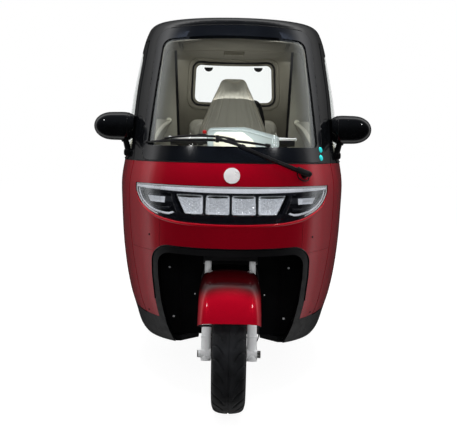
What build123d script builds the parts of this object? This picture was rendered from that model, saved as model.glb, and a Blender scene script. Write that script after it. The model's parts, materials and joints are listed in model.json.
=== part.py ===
from build123d import *
import math
import os

os.makedirs("parts", exist_ok=True)

# ---------------------------------------------------------------- driving dimensions (mm)
# Frame: +Z up, the nose points to -Y, +X is the vehicle's left, ground at Z = 0.
HEIGHT = 1600.0            # top of the roof
BELT_Z = 946.0             # joint between the red lower body and the black upper body
SEAM_Z = 588.0             # joint between the nose cover and the lower front wings
HEM_Z = 296.0              # lower edge of the red panels
WALL = 30.0                # thickness of a whole body wall
GAP = 6.0                  # shut gap round moving panels
JOINT = 1.0                # gap between fixed panels
FRONT_AXLE_Y, REAR_AXLE_Y, AXLE_Z = -900.0, 660.0, 220.0
RAKE = 22.0                # steering rake
STEER_Y = -860.0           # steering axis at axle height
TRACK_HALF = 375.0         # rear wheel centre plane
FRONT_R, FRONT_W = 220.0, 126.0
REAR_R, REAR_W = 220.0, 110.0
WELL_X, WELL_TOP, WELL_REAR = 302.0, 646.0, -545.0
HINGE_X, HINGE_Y = 443.0, -560.0
DOOR_R = 890.0             # rear edge of a door, measured from its hinge line
DOOR_TOP = 1478.0
LID_Y, LID_Z, LID_R, LID_X = 962.0, 943.0, 392.0, 322.0
Y_MID = -60.0              # widest station of the body

# plan sections: height, nose Y, tail Y, half width, tail taper, nose exponents, tail exponents
SECTIONS = [
    (165, -622, 985, 409, 0.02, 3.4, 2.1, 6, 2.4),
    (188, -684, 1040, 427, 0.02, 2.9, 2.1, 6, 2.4),
    (215, -720, 1066, 442, 0.02, 2.6, 2.1, 7, 2.4),
    (260, -757, 1082, 457, 0.02, 2.4, 2.1, 7, 2.4),
    (330, -795, 1094, 479, 0.02, 2.3, 2.1, 6, 2.4),
    (420, -825, 1100, 500, 0.02, 2.2, 2.1, 5, 2.4),
    (520, -847, 1100, 513, 0.02, 2.2, 2.1, 5, 2.4),
    (640, -868, 1090, 522, 0.03, 2.2, 2.1, 5, 2.4),
    (760, -880, 1060, 526, 0.04, 2.2, 2.1, 5, 2.4),
    (860, -873, 1012, 527, 0.05, 2.2, 2.1, 5, 2.4),
    (935, -854, 958, 516, 0.07, 2.2, 2.1, 5, 2.4),
    (1000, -828, 918, 505, 0.09, 2.2, 2.1, 5, 2.4),
    (1120, -766, 872, 493, 0.10, 2.2, 2.1, 5, 2.4),
    (1250, -692, 832, 477, 0.11, 2.2, 2.1, 5, 2.4),
    (1400, -600, 790, 449, 0.12, 2.2, 2.1, 5, 2.4),
    (1520, -522, 760, 419, 0.12, 2.2, 2.1, 5, 2.4),
    (1660, -425, 722, 382, 0.12, 2.2, 2.1, 5, 2.4),
]


def lerp_section(z):
    """Section values at any height between the listed ones."""
    rows = SECTIONS
    if z <= rows[0][0]:
        return rows[0][1:]
    for a, b in zip(rows, rows[1:]):
        if z <= b[0]:
            k = (z - a[0]) / (b[0] - a[0])
            return tuple(a[i] + k * (b[i] - a[i]) for i in range(1, 9))
    return rows[-1][1:]


def even(curve, n):
    """n + 1 points at equal distances along a dense list of points."""
    run = [0.0]
    for p, q in zip(curve, curve[1:]):
        run.append(run[-1] + math.dist(p, q))
    out, j = [], 0
    for i in range(n + 1):
        want = run[-1] * i / n
        while j < len(run) - 2 and run[j + 1] < want:
            j += 1
        k = (want - run[j]) / (run[j + 1] - run[j])
        out.append(tuple(u + k * (v - u) for u, v in zip(curve[j], curve[j + 1])))
    return out


def plan_points(z, inset=0.0, n=9, m=12):
    """Closed plan outline of the body at height z, moved inward by inset."""
    yf, yr, hw, tp, pf, qf, pr, qr = lerp_section(z)
    yf, yr, hw = yf + inset, yr - inset, hw - inset
    nose, tail = [], []
    for i in range(301):
        a = math.pi / 2 * i / 300
        t, c = math.cos(a) ** (2 / pf), math.sin(a) ** (2 / qf)
        nose.append((hw * c, Y_MID + t * (yf - Y_MID)))
        t, c = math.sin(a) ** (2 / pr), abs(math.cos(a)) ** (2 / qr)
        tail.append((hw * (1 - tp * t * t) * c, Y_MID + t * (yr - Y_MID)))
    half = even(nose, n) + even(tail, m)[1:]
    half[0], half[-1] = (0.0, yf), (0.0, yr)
    return half + [(-x, y) for x, y in reversed(half[1:-1])]


# one shared set of spline parameters keeps the lofted skins light
_ref = plan_points(760)
_run = [0.0]
for _p, _q in zip(_ref, _ref[1:] + _ref[:1]):
    _run.append(_run[-1] + math.dist(_p, _q))
KNOTS = [r / _run[-1] for r in _run]


def outline(z, inset):
    """Plan outline as one smooth closed edge."""
    return Edge.make_spline([Vector(x, y, 0) for x, y in plan_points(z, inset)], periodic=True, parameters=KNOTS)


def body_loft(heights, inset):
    """Solid through the plan outlines at the given heights."""
    with BuildPart() as block:
        for z in heights:
            edge = outline(z, inset)
            with BuildSketch(Plane.XY.offset(z)):
                with BuildLine():
                    add(edge)
                make_face()
        loft()
    return block.part


# roof crown: a large sphere whose top touches the roof line
ROOF_R = 4500.0


def body_block(inset, bottom, edge):
    """Closed body volume with the crowned roof and its rounded edge."""
    heights = [bottom] + [s[0] for s in SECTIONS if s[0] > bottom + 12]
    skin = body_loft(heights, inset)
    with BuildPart() as block:
        add(skin)
        with Locations((0, 150, HEIGHT - inset - ROOF_R)):
            Sphere(ROOF_R, mode=Mode.INTERSECT)
        rim = block.edges().filter_by(lambda e: e.center().Z > 1480)
        fillet(rim, edge)
    return block.part



def prism_x(points, x0, x1, radius=0.0):
    """Side-view outline (Y, Z) run across the body from x0 to x1."""
    with BuildPart() as tool:
        with BuildSketch(Plane.YZ.offset(x0)) as sk:
            with BuildLine():
                Polyline(*points, close=True)
            make_face()
            if radius:
                fillet(sk.vertices(), radius)
        extrude(amount=x1 - x0)
    return tool.part


def prism_y(points, y0, y1, radius=0.0, top_radius=0.0):
    """Front-view outline (X, Z) run lengthwise from y0 to y1."""
    with BuildPart() as tool:
        with BuildSketch(Plane(origin=(0, y0, 0), x_dir=(-1, 0, 0), z_dir=(0, 1, 0))) as sk:
            with BuildLine():
                Polyline(*[(-x, z) for x, z in points], close=True)
            make_face()
            if top_radius:
                high = sk.vertices().group_by(Axis.Y)[-1]
                fillet(high, top_radius)
            if radius:
                low = sk.vertices().group_by(Axis.Y)[0]
                fillet(low, radius)
        extrude(amount=y1 - y0)
    return tool.part


def prism_z(points, z0, z1):
    """Plan outline (X, Y) run upright from z0 to z1."""
    with BuildPart() as tool:
        with BuildSketch(Plane.XY.offset(z0)):
            with BuildLine():
                Polyline(*points, close=True)
            make_face()
        extrude(amount=z1 - z0)
    return tool.part


def block(x0, x1, y0, y1, z0, z1):
    """Plain box between the six faces."""
    with BuildPart() as tool:
        with Locations(((x0 + x1) / 2, (y0 + y1) / 2, (z0 + z1) / 2)):
            Box(x1 - x0, y1 - y0, z1 - z0)
    return tool.part


def both_sides(half):
    """List of (X, Z) points of the right half, completed by their mirror."""
    return half + [(-x, z) for x, z in reversed(half) if x > 0.01]


def skin_y(x, z, inset=0.0):
    """Y of the nose surface at x, z."""
    yf, yr, hw, tp, pf, qf, pr, qr = lerp_section(z)
    yf, hw = yf + inset, hw - inset
    return Y_MID + (yf - Y_MID) * (1 - min(1, abs(x) / hw) ** qf) ** (1 / pf)


def skin_x(y, z, inset=0.0):
    """X of the flank at y, z."""
    yf, yr, hw, tp, pf, qf, pr, qr = lerp_section(z)
    if y < Y_MID:
        t = (y - Y_MID) / (yf + inset - Y_MID)
        return (hw - inset) * (1 - t ** pf) ** (1 / qf)
    t = (y - Y_MID) / (yr - inset - Y_MID)
    return (hw - inset) * (1 - tp * t * t) * (1 - t ** pr) ** (1 / qr)


def save(piece, name):
    """Label one finished piece and write its file."""
    piece.part.label = name
    export_step(piece.part, "parts/" + name + ".step")


# ---------------------------------------------------------------- body volumes
OUTER = body_block(0, 165, 62)
FLUSH = body_block(5.5, 165, 56)          # seat of the glass and the lamp lens
GLASS_IN = body_block(4.8, 165, 57)       # inner face of the panes
INNER = body_block(WALL, 165, 40)

with BuildPart() as shell:
    add(OUTER)
    add(INNER, mode=Mode.SUBTRACT)
    # flat bottom flange, one wall thick
    with BuildSketch(Plane.XY.offset(165)):
        with BuildLine():
            Spline(*plan_points(165, 14), periodic=True)
        make_face()
    extrude(amount=24)
SHELL = shell.part

# ---------------------------------------------------------------- openings
DOOR_SIDE_CUT = [(-561, 290), (700, 290), (700, DOOR_TOP + 6), (-311, DOOR_TOP + 6), (-561, BELT_Z - 14)]
DOOR_SIDE = [(-555, 296), (700, 296), (700, DOOR_TOP), (-302, DOOR_TOP), (-555, BELT_Z - 14)]


def door_volume(points, radius):
    """Volume of a left-hand door: side outline closed by the swing cylinder at the rear."""
    side = prism_x(points, 240, 700)
    with BuildPart() as tool:
        with Locations((HINGE_X, HINGE_Y, 900)):
            Cylinder(radius, 1500)
        add(side, mode=Mode.INTERSECT)
    return tool.part


DOOR_CUT_L = door_volume(DOOR_SIDE_CUT, DOOR_R + 6)
DOOR_VOL_L = door_volume(DOOR_SIDE, DOOR_R)
with BuildPart() as door_cut_right:
    add(DOOR_CUT_L)
    mirror(about=Plane.YZ, mode=Mode.REPLACE)
DOOR_CUT_R = door_cut_right.part

PANE_FRONT = both_sides([(0, 951), (372, 951), (366, 1120), (352, 1290), (336, 1518)])
DAY_FRONT = both_sides([(0, 1003), (323, 1003), (318, 1120), (312, 1290), (303, 1456)])
PANE_REAR = both_sides([(0, 1256), (268, 1256), (252, 1528)])
DAY_REAR = both_sides([(0, 1284), (239, 1284), (226, 1504)])


def rounded_pane(points, y0, y1, low, high, grow=0.0):
    """Front-view window outline with rounded corners, optionally grown."""
    with BuildPart() as tool:
        with BuildSketch(Plane(origin=(0, y0, 0), x_dir=(-1, 0, 0), z_dir=(0, 1, 0))) as sk:
            with BuildLine():
                Polyline(*[(-x, z) for x, z in points], close=True)
            make_face()
            top = sk.vertices().group_by(Axis.Y)[-1]
            fillet(top, high)
            bottom = sk.vertices().group_by(Axis.Y)[0].filter_by(lambda v: abs(v.X) > 20)
            fillet(bottom, low)
            if grow:
                offset(amount=grow)
        extrude(amount=y1 - y0)
    return tool.part


PANE_F = rounded_pane(PANE_FRONT, -1000, -250, 26, 62)
PANE_F_IN = rounded_pane(PANE_FRONT, -1000, -250, 26, 62, -0.8)
DAY_F = rounded_pane(DAY_FRONT, -1000, -200, 26, 46)
PANE_R = rounded_pane(PANE_REAR, 400, 1100, 50, 50)
PANE_R_IN = rounded_pane(PANE_REAR, 400, 1100, 50, 50, -0.8)
DAY_R = rounded_pane(DAY_REAR, 400, 1100, 34, 34)

# side pane, seen from the side (Y, Z)
PANE_SIDE = [(-494, 962), (284, 962), (284, 1446), (-266, 1446)]
DAY_SIDE = [(-446, 986), (258, 986), (258, 1420), (-246, 1420)]
PANE_S = prism_x(PANE_SIDE, 240, 700, 30)
PANE_S_IN = prism_x([(-492.4, 962.8), (283.2, 962.8), (283.2, 1445.2), (-265.5, 1445.2)], 240, 700, 29)
DAY_S = prism_x(DAY_SIDE, 240, 700, 26)

# wheel arch at the nose
ARCH_OUT = both_sides([(0, 100), (250, 100), (262, 190), (290, 271), (311, 380), (320, 489), (319, 619)])
ARCH_IN = both_sides([(0, 100), (224, 100), (236, 190), (263, 271), (284, 380), (294, 489), (293, 589)])
ARCH_OUT_P = prism_y(ARCH_OUT, -1000, -556, 0, 72)
ARCH_IN_P = prism_y(ARCH_IN, -1010, -556, 0, 52)


# crescent head lamp, seen from the front (X, Z)
def lamp_prism(y0, y1, grow=0.0):
    k = (397 + 1.6 * grow) / 397
    low = [(-396, 826), (-366, 776), (-300, 737), (-212, 720), (-100, 715), (0, 714),
           (100, 715), (212, 720), (300, 737), (366, 776), (396, 826)]
    high = [(220, 861), (0, 860), (-220, 861)]
    with BuildPart() as tool:
        with BuildSketch(Plane(origin=(0, y0, 0), x_dir=(-1, 0, 0), z_dir=(0, 1, 0))):
            with BuildLine():
                Spline((-397 * k, 858 + grow), *[(x * k, z - grow) for x, z in low], (397 * k, 858 + grow))
                Spline((397 * k, 858 + grow), *[(x * k, z + grow) for x, z in high], (-397 * k, 858 + grow))
            make_face()
        extrude(amount=y1 - y0)
    return tool.part


LAMP = lamp_prism(-1000, -577)
LAMP_IN = lamp_prism(-1000, -577, -0.8)
LAMP_BOWL = lamp_prism(-1000, -577, -7)

# boot lid, hinged along its top edge
with BuildPart() as lid_volume:
    with Locations((0, LID_Y, LID_Z)):
        Cylinder(LID_R, 2 * LID_X, rotation=(0, 90, 0))
    add(block(-LID_X, LID_X, 700, 1200, 400, 940), mode=Mode.INTERSECT)
with BuildPart() as lid_cut:
    with Locations((0, LID_Y, LID_Z)):
        Cylinder(LID_R + GAP, 2 * LID_X + 2 * GAP, rotation=(0, 90, 0))
    add(block(-LID_X - GAP, LID_X + GAP, 700, 1200, 400, BELT_Z - 0.2), mode=Mode.INTERSECT)

# tail lamp outline
TAIL_PTS = [(350, 636), (436, 636), (424, 884), (350, 898)]
TAIL = prism_y(TAIL_PTS, 600, 1150)
TAIL_IN = prism_y([(350.8, 636.8), (435.2, 636.8), (423.2, 883.2), (350.8, 897)], 600, 1150)

# rear wheel openings through the flanks
with BuildPart() as rear_arches:
    with Locations((430, REAR_AXLE_Y, AXLE_Z), (-430, REAR_AXLE_Y, AXLE_Z)):
        Cylinder(252, 256, rotation=(0, 90, 0))

# ---------------------------------------------------------------- roof with its pillars
with BuildPart() as roof_rough:
    add(SHELL)
    add(block(-700, 700, -1200, 1300, 0, BELT_Z + JOINT / 2), mode=Mode.SUBTRACT)
    add(DOOR_CUT_L, mode=Mode.SUBTRACT)
    add(DOOR_CUT_R, mode=Mode.SUBTRACT)
    add(DAY_F, mode=Mode.SUBTRACT)
    add(DAY_R, mode=Mode.SUBTRACT)
# rebates for the panes
with BuildPart() as front_rebate:
    add(PANE_F)
    add(FLUSH, mode=Mode.SUBTRACT)
with BuildPart() as rear_rebate:
    add(PANE_R)
    add(FLUSH, mode=Mode.SUBTRACT)
with BuildPart() as side_rebate:
    add(PANE_S)
    add(FLUSH, mode=Mode.SUBTRACT)
with BuildPart() as roof_shell:
    add(roof_rough.part)
    add(front_rebate.part, mode=Mode.SUBTRACT)
    add(rear_rebate.part, mode=Mode.SUBTRACT)
save(roof_shell, "roof_shell")
print("roof_shell", len(roof_shell.solids()))

with BuildPart() as windscreen:
    add(OUTER)
    add(GLASS_IN, mode=Mode.SUBTRACT)
    add(PANE_F_IN, mode=Mode.INTERSECT)
save(windscreen, "windscreen")
with BuildPart() as rear_window:
    add(OUTER)
    add(GLASS_IN, mode=Mode.SUBTRACT)
    add(PANE_R_IN, mode=Mode.INTERSECT)
save(rear_window, "rear_window")
print("windows", len(windscreen.solids()), len(rear_window.solids()))

# ---------------------------------------------------------------- doors
with BuildPart() as door_whole:
    add(SHELL)
    add(DOOR_VOL_L, mode=Mode.INTERSECT)
    add(side_rebate.part, mode=Mode.SUBTRACT)
    add(DAY_S, mode=Mode.SUBTRACT)
with BuildPart() as door_left:
    add(door_whole.part)
    add(block(0, 700, -700, 700, 0, BELT_Z - JOINT / 2), mode=Mode.INTERSECT)
with BuildPart() as door_frame_left:
    add(door_whole.part)
    add(block(0, 700, -700, 700, BELT_Z + JOINT / 2, 1700), mode=Mode.INTERSECT)
with BuildPart() as door_right:
    add(door_left.part)
    mirror(about=Plane.YZ, mode=Mode.REPLACE)
with BuildPart() as door_frame_right:
    add(door_frame_left.part)
    mirror(about=Plane.YZ, mode=Mode.REPLACE)
with BuildPart() as door_glass_left:
    add(OUTER)
    add(GLASS_IN, mode=Mode.SUBTRACT)
    add(PANE_S_IN, mode=Mode.INTERSECT)
with BuildPart() as door_glass_right:
    add(door_glass_left.part)
    mirror(about=Plane.YZ, mode=Mode.REPLACE)
save(door_left, "door_left")
save(door_right, "door_right")
save(door_frame_left, "door_frame_left")
save(door_frame_right, "door_frame_right")
save(door_glass_left, "door_glass_left")
save(door_glass_right, "door_glass_right")
print("doors", len(door_left.solids()), len(door_glass_left.solids()))

# ---------------------------------------------------------------- red nose panels
with BuildPart() as nose_zone:
    add(SHELL)
    add(block(-700, 700, -1200, -561, HEM_Z, BELT_Z - JOINT / 2), mode=Mode.INTERSECT)
    add(LAMP, mode=Mode.SUBTRACT)
    add(ARCH_OUT_P, mode=Mode.SUBTRACT)
APRON_ZONE = block(-284, 284, -1200, -561, 560, 790)
APRON_CUT = block(-285, 285, -1200, -561, 560, 790)
with BuildPart() as front_panel:
    add(nose_zone.part)
    add(block(-700, 700, -1200, -500, 0, SEAM_Z + JOINT / 2), mode=Mode.SUBTRACT)
    add(APRON_CUT, mode=Mode.SUBTRACT)
with BuildPart() as nose_apron:
    add(nose_zone.part)
    add(APRON_ZONE, mode=Mode.INTERSECT)
    add(block(-700, 700, -1200, -500, 0, SEAM_Z + JOINT / 2), mode=Mode.SUBTRACT)
with BuildPart() as wing_left:
    add(nose_zone.part)
    add(block(0, 700, -1200, -500, HEM_Z, SEAM_Z - JOINT / 2), mode=Mode.INTERSECT)
with BuildPart() as wing_right:
    add(wing_left.part)
    mirror(about=Plane.YZ, mode=Mode.REPLACE)
save(front_panel, "front_panel")
save(nose_apron, "nose_apron")
save(wing_left, "wing_left")
save(wing_right, "wing_right")
print("nose", len(front_panel.solids()), len(nose_apron.solids()), len(wing_left.solids()))

# black trim band round the wheel opening
with BuildPart() as wheel_arch_trim:
    add(SHELL)
    add(prism_y([(x * 0.9974, z - (0.8 if z > 600 else 0)) for x, z in ARCH_OUT], -1000, -556, 0, 71), mode=Mode.INTERSECT)
    add(ARCH_IN_P, mode=Mode.SUBTRACT)
    add(block(-700, 700, -1200, -500, 0, HEM_Z), mode=Mode.SUBTRACT)
save(wheel_arch_trim, "wheel_arch_trim")
print("trim", len(wheel_arch_trim.solids()))

# head lamp
with BuildPart() as headlight_lens:
    add(OUTER)
    add(GLASS_IN, mode=Mode.SUBTRACT)
    add(LAMP_IN, mode=Mode.INTERSECT)
with BuildPart() as lamp_depth:
    add(LAMP_BOWL)
    add(Pos(0, 56, 0) * OUTER, mode=Mode.SUBTRACT)
with BuildPart() as headlight_housing:
    add(FLUSH)
    add(LAMP_IN, mode=Mode.INTERSECT)
    add(Pos(0, 62, 0) * OUTER, mode=Mode.SUBTRACT)
    add(lamp_depth.part, mode=Mode.SUBTRACT)
save(headlight_lens, "headlight_lens")
save(headlight_housing, "headlight_housing")
print("lamp", len(headlight_lens.solids()), len(headlight_housing.solids()))

# ---------------------------------------------------------------- sills, bumper and rear body
UNDER = prism_z([(-232, -640), (-232, -575), (-136, -492), (-136, -440), (-232, -440), (-232, 1000),
                 (232, 1000), (232, -440), (136, -440), (136, -492), (232, -575), (232, -640)], 100, 200)
with BuildPart() as low_zone:
    add(SHELL)
    add(block(-700, 700, -1200, 1300, 100, HEM_Z - JOINT), mode=Mode.INTERSECT)
    add(DOOR_CUT_L, mode=Mode.SUBTRACT)
    add(DOOR_CUT_R, mode=Mode.SUBTRACT)
    add(ARCH_IN_P, mode=Mode.SUBTRACT)
    add(block(-232, 232, -1200, -556, 100, 400), mode=Mode.SUBTRACT)
    add(UNDER, mode=Mode.SUBTRACT)
    add(rear_arches.part, mode=Mode.SUBTRACT)
with BuildPart() as side_sills:
    add(low_zone.part)
    add(block(-700, 700, -1200, REAR_AXLE_Y, 100, 400), mode=Mode.INTERSECT)
save(side_sills, "side_sills")
print("sills", len(side_sills.solids()))

with BuildPart() as bumper_bar:
    with BuildSketch(Plane.XY.offset(330)):
        with BuildLine():
            Spline(*plan_points(380, -22.67), periodic=True)
        make_face()
        with BuildLine():
            Spline(*plan_points(380, 12), periodic=True)
        make_face(mode=Mode.SUBTRACT)
    extrude(amount=90)
    add(block(-700, 700, 926, 1300, 100, 600), mode=Mode.INTERSECT)
    fillet(bumper_bar.edges().filter_by(lambda e: e.center().Y > 1000 and e.length > 500), 8)
with BuildPart() as rear_bumper:
    add(SHELL)
    add(block(-700, 700, 926, 1300, 100, 432), mode=Mode.INTERSECT)
    add(UNDER, mode=Mode.SUBTRACT)
    add(bumper_bar.part)
save(rear_bumper, "rear_bumper")
print("bumper", len(rear_bumper.solids()), rear_bumper.part.bounding_box().max.Y)

with BuildPart() as rear_body:
    add(SHELL)
    add(block(-700, 700, 0, 1300, HEM_Z, BELT_Z - JOINT / 2), mode=Mode.INTERSECT)
    add(DOOR_CUT_L, mode=Mode.SUBTRACT)
    add(DOOR_CUT_R, mode=Mode.SUBTRACT)
    add(rear_arches.part, mode=Mode.SUBTRACT)
    add(lid_cut.part, mode=Mode.SUBTRACT)
    add(TAIL, mode=Mode.SUBTRACT)
    add(Pos(0, 0, 0) * prism_y([(-x, z) for x, z in TAIL_PTS], 600, 1150), mode=Mode.SUBTRACT)
    add(block(-700, 700, 925, 1300, 100, 433), mode=Mode.SUBTRACT)
save(rear_body, "rear_body")
print("rear_body", len(rear_body.solids()))

with BuildPart() as boot_lid:
    add(SHELL)
    add(lid_volume.part, mode=Mode.INTERSECT)
    for x0 in (-85, 85):
        with Locations((x0, 1080, 705)):
            Cylinder(3.5, 100, rotation=(90, 0, 0), mode=Mode.SUBTRACT)
save(boot_lid, "boot_lid")
with BuildPart() as tail_lamps:
    add(SHELL)
    add(TAIL_IN, mode=Mode.INTERSECT)
    mirror(about=Plane.YZ)
save(tail_lamps, "tail_lamps")
print("lid", len(boot_lid.solids()), "tail", len(tail_lamps.solids()))

# ---------------------------------------------------------------- structure inside the skin
TRIM = body_block(WALL + 1, 165, 39)      # boundary of everything fixed inside the skin
AX = (0, math.sin(math.radians(RAKE)), math.cos(math.radians(RAKE)))


def on_steer(z):
    """Point of the steering axis at height z."""
    return (0, STEER_Y + (z - AXLE_Z) * math.tan(math.radians(RAKE)), z)


def steer_plane(x, y, z):
    """Plane square to the steering axis, at a point."""
    return Plane(origin=(x, y, z), x_dir=(1, 0, 0), z_dir=AX)


def rod(plane, radius, length):
    """Round bar standing on a plane."""
    with BuildPart() as bar:
        with BuildSketch(plane):
            Circle(radius)
        extrude(amount=length)
    return bar.part


COLUMN_CLEAR = rod(steer_plane(*on_steer(560)), 48, 250)

with BuildPart() as wheel_well_liner:
    add(block(-WELL_X - 6, WELL_X + 6, -900, WELL_REAR + 6, 196, WELL_TOP + 6))
    add(block(-WELL_X, WELL_X, -1000, WELL_REAR, 100, WELL_TOP), mode=Mode.SUBTRACT)
    add(TRIM, mode=Mode.INTERSECT)
    add(COLUMN_CLEAR, mode=Mode.SUBTRACT)
save(wheel_well_liner, "wheel_well_liner")
print("liner", len(wheel_well_liner.solids()))

with BuildPart() as chassis_frame:
    for x0 in (165, -215):
        add(prism_x([(-530, 205), (440, 205), (490, 345), (1010, 345), (1010, 395), (455, 395), (405, 255), (-530, 255)],
                    x0, x0 + 50))
        add(block(x0, x0 + 50, -530, -490, 250, 740))
    for y0, y1, z0, z1 in ((-530, -490, 205, 255), (-150, -110, 205, 255), (340, 380, 205, 255),
                           (500, 540, 345, 395), (970, 1010, 345, 395), (-530, -490, 700, 740)):
        add(block(-170, 170, y0, y1, z0, z1))
    for x0, x1 in ((165, 285), (-285, -165)):
        add(block(x0, x1, 600, 680, 452, 468))
    for x0 in (165, -215):
        add(block(x0, x0 + 50, 600, 680, 390, 460))
    add(block(-36, 36, -668, -500, 694, 736))
    add(rod(steer_plane(*on_steer(662)), 33, 122))
    add(rod(steer_plane(*on_steer(600)), 24, 300), mode=Mode.SUBTRACT)
save(chassis_frame, "chassis_frame")
print("chassis", len(chassis_frame.solids()))

with BuildPart() as dashboard:
    add(block(-350, 350, -484, -476, 275, 925))
    add(block(-366, 366, -562, -476, 917, 925))
    add(block(-600, 600, -1000, -562, 917, 925))
    add(TRIM, mode=Mode.INTERSECT)
    add(rod(steer_plane(*on_steer(860)), 44, 200), mode=Mode.SUBTRACT)
save(dashboard, "dashboard")
print("dashboard", len(dashboard.solids()))

with BuildPart() as rear_wheelhouses:
    with Locations((388, REAR_AXLE_Y, AXLE_Z)):
        Cylinder(258, 188, rotation=(0, 90, 0))
    with Locations((400, REAR_AXLE_Y, AXLE_Z)):
        Cylinder(252.5, 200, rotation=(0, 90, 0), mode=Mode.SUBTRACT)
    with Locations((297, REAR_AXLE_Y, AXLE_Z)):
        Cylinder(46, 30, rotation=(0, 90, 0), mode=Mode.SUBTRACT)
    add(TRIM, mode=Mode.INTERSECT)
    add(block(200, 600, 300, 1100, 0, 197), mode=Mode.SUBTRACT)
    mirror(about=Plane.YZ)
save(rear_wheelhouses, "rear_wheelhouses")
print("wheelhouses", len(rear_wheelhouses.solids()))

with BuildPart() as floor_pan:
    add(block(-600, 600, -538, 346, 262, 268))
    add(block(-600, 600, 344, 350, 262, 486))
    add(block(-600, 600, 344, 1100, 480, 486))
    add(TRIM, mode=Mode.INTERSECT)
    for x0 in (163, -217):
        add(block(x0, x0 + 54, -540, -488, 250, 280), mode=Mode.SUBTRACT)
save(floor_pan, "floor_pan")
print("floor", len(floor_pan.solids()))

with BuildPart() as battery_box:
    add(block(-150, 150, -90, 300, 272, 470))
    fillet(battery_box.edges().filter_by(Axis.Z), 12)
save(battery_box, "battery_box")

with BuildPart() as driver_seat_base:
    add(block(-190, 190, -130, 320, 270, 552))
    fillet(driver_seat_base.edges().filter_by(Axis.Z), 40)
    add(block(-184, 184, -124, 314, 200, 546), mode=Mode.SUBTRACT)
save(driver_seat_base, "driver_seat_base")

with BuildPart() as driver_seat:
    add(block(-178, 178, -140, 236, 554, 672))
    fillet(driver_seat.edges().filter_by(Axis.Z), 60)
    fillet(driver_seat.faces().sort_by(Axis.Z)[-1].edges(), 28)
with BuildPart() as driver_back:
    with BuildSketch(Plane(origin=(0, 240, 564), x_dir=(-1, 0, 0),
                           z_dir=(0, math.cos(math.radians(7)), -math.sin(math.radians(7))))) as sk:
        with BuildLine():
            Polyline(*both_sides([(0, 0), (176, 0), (182, 130), (198, 546), (70, 838)]), close=True)
        make_face()
        fillet(sk.vertices().group_by(Axis.Y)[-1], 26)
        fillet(sk.vertices().filter_by(lambda v: 500 < v.Y < 560), 60)
    extrude(amount=74)
    fillet(driver_back.edges().filter_by(lambda e: e.length > 60 and e.center().Z > 640), 20)
with BuildPart() as driver_seat_full:
    add(driver_seat.part)
    add(driver_back.part)
save(driver_seat_full, "driver_seat")
print("driver seat", len(driver_seat_full.solids()))

with BuildPart() as rear_cushion:
    add(block(-272, 272, 366, 598, 490, 648))
    fillet(rear_cushion.edges().filter_by(Axis.Z), 40)
    fillet(rear_cushion.faces().sort_by(Axis.Z)[-1].edges(), 26)
with BuildPart() as rear_back:
    with BuildSketch(Plane(origin=(0, 604, 500), x_dir=(-1, 0, 0),
                           z_dir=(0, math.cos(math.radians(5)), -math.sin(math.radians(5))))) as sk:
        with BuildLine():
            Polyline(*both_sides([(0, 0), (280, 0), (280, 690)]), close=True)
        make_face()
        fillet(sk.vertices().group_by(Axis.Y)[-1], 60)
    extrude(amount=62)
    fillet(rear_back.edges().filter_by(lambda e: e.length > 60 and e.center().Z > 560), 18)
with BuildPart() as rear_seat:
    add(rear_cushion.part)
    add(rear_back.part)
save(rear_seat, "rear_seat")
print("rear seat", len(rear_seat.solids()))

# ---------------------------------------------------------------- rear axle, dampers, plate, wiper
with BuildPart() as rear_axle:
    with BuildSketch(Plane(origin=(0, REAR_AXLE_Y, AXLE_Z), x_dir=(1, 0, 0), z_dir=(0, -1, 0))):
        with BuildLine():
            Polyline((-320, 0), (-320, 30), (-118, 30), (-84, 84), (-56, 94), (56, 94), (84, 84), (118, 30), (320, 30),
                     (320, 0), close=True)
        make_face()
    revolve(axis=Axis((0, REAR_AXLE_Y, AXLE_Z), (1, 0, 0)))
    with Locations((12, REAR_AXLE_Y - 98, AXLE_Z + 9)):
        Cylinder(73, 216, rotation=(0, 90, 0))
    for s in (1, -1):
        with Locations((s * 322, REAR_AXLE_Y, AXLE_Z)):
            Cylinder(50, 8, rotation=(0, 90, 0))
        with Locations((s * 352, REAR_AXLE_Y, AXLE_Z)):
            Cylinder(12, 60, rotation=(0, 90, 0))
        with Locations((s * 255, REAR_AXLE_Y - 10, AXLE_Z + 26)):
            Box(54, 60, 24)
save(rear_axle, "rear_axle")
print("rear axle", len(rear_axle.solids()), rear_axle.part.volume, rear_axle.part.is_valid)

with BuildPart() as rear_shocks:
    for s in (1, -1):
        with Locations((s * 255, REAR_AXLE_Y - 10, 355)):
            Cylinder(17, 190)
        for k in range(7):
            with Locations((s * 255, REAR_AXLE_Y - 10, 290 + 22 * k)):
                Cylinder(27, 10)
save(rear_shocks, "rear_shocks")

with BuildPart() as number_plate:
    add(block(-121, 121, 1000, 1106, 640, 770))
    fillet(number_plate.edges().filter_by(Axis.Y), 8)
    for x in (-85, 85):
        with Locations((x, 1060, 705)):
            Cylinder(3.5, 120, rotation=(90, 0, 0), mode=Mode.SUBTRACT)
    add(OUTER, mode=Mode.SUBTRACT)
save(number_plate, "number_plate")
print("plate", len(number_plate.solids()), number_plate.part.bounding_box())


def proud(x, z, off):
    """Point standing off the nose surface by about off."""
    y = skin_y(x, z)
    dx = (skin_y(x + 5, z) - skin_y(x - 5, z)) / 10
    dz = (skin_y(x, z + 5) - skin_y(x, z - 5)) / 10
    n = math.sqrt(1 + dx * dx + dz * dz)
    return (x + off * dx / n, y - off / n, z + off * dz / n)


def bar_through(points, w, h):
    """Rounded bar swept along a smooth line."""
    with BuildPart() as bar:
        with BuildLine() as path:
            Spline(*points)
        with BuildSketch(Plane(origin=path.line @ 0, z_dir=path.line % 0)):
            RectangleRounded(w, h, min(w, h) * 0.3)
        sweep()
    return bar.part


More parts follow.
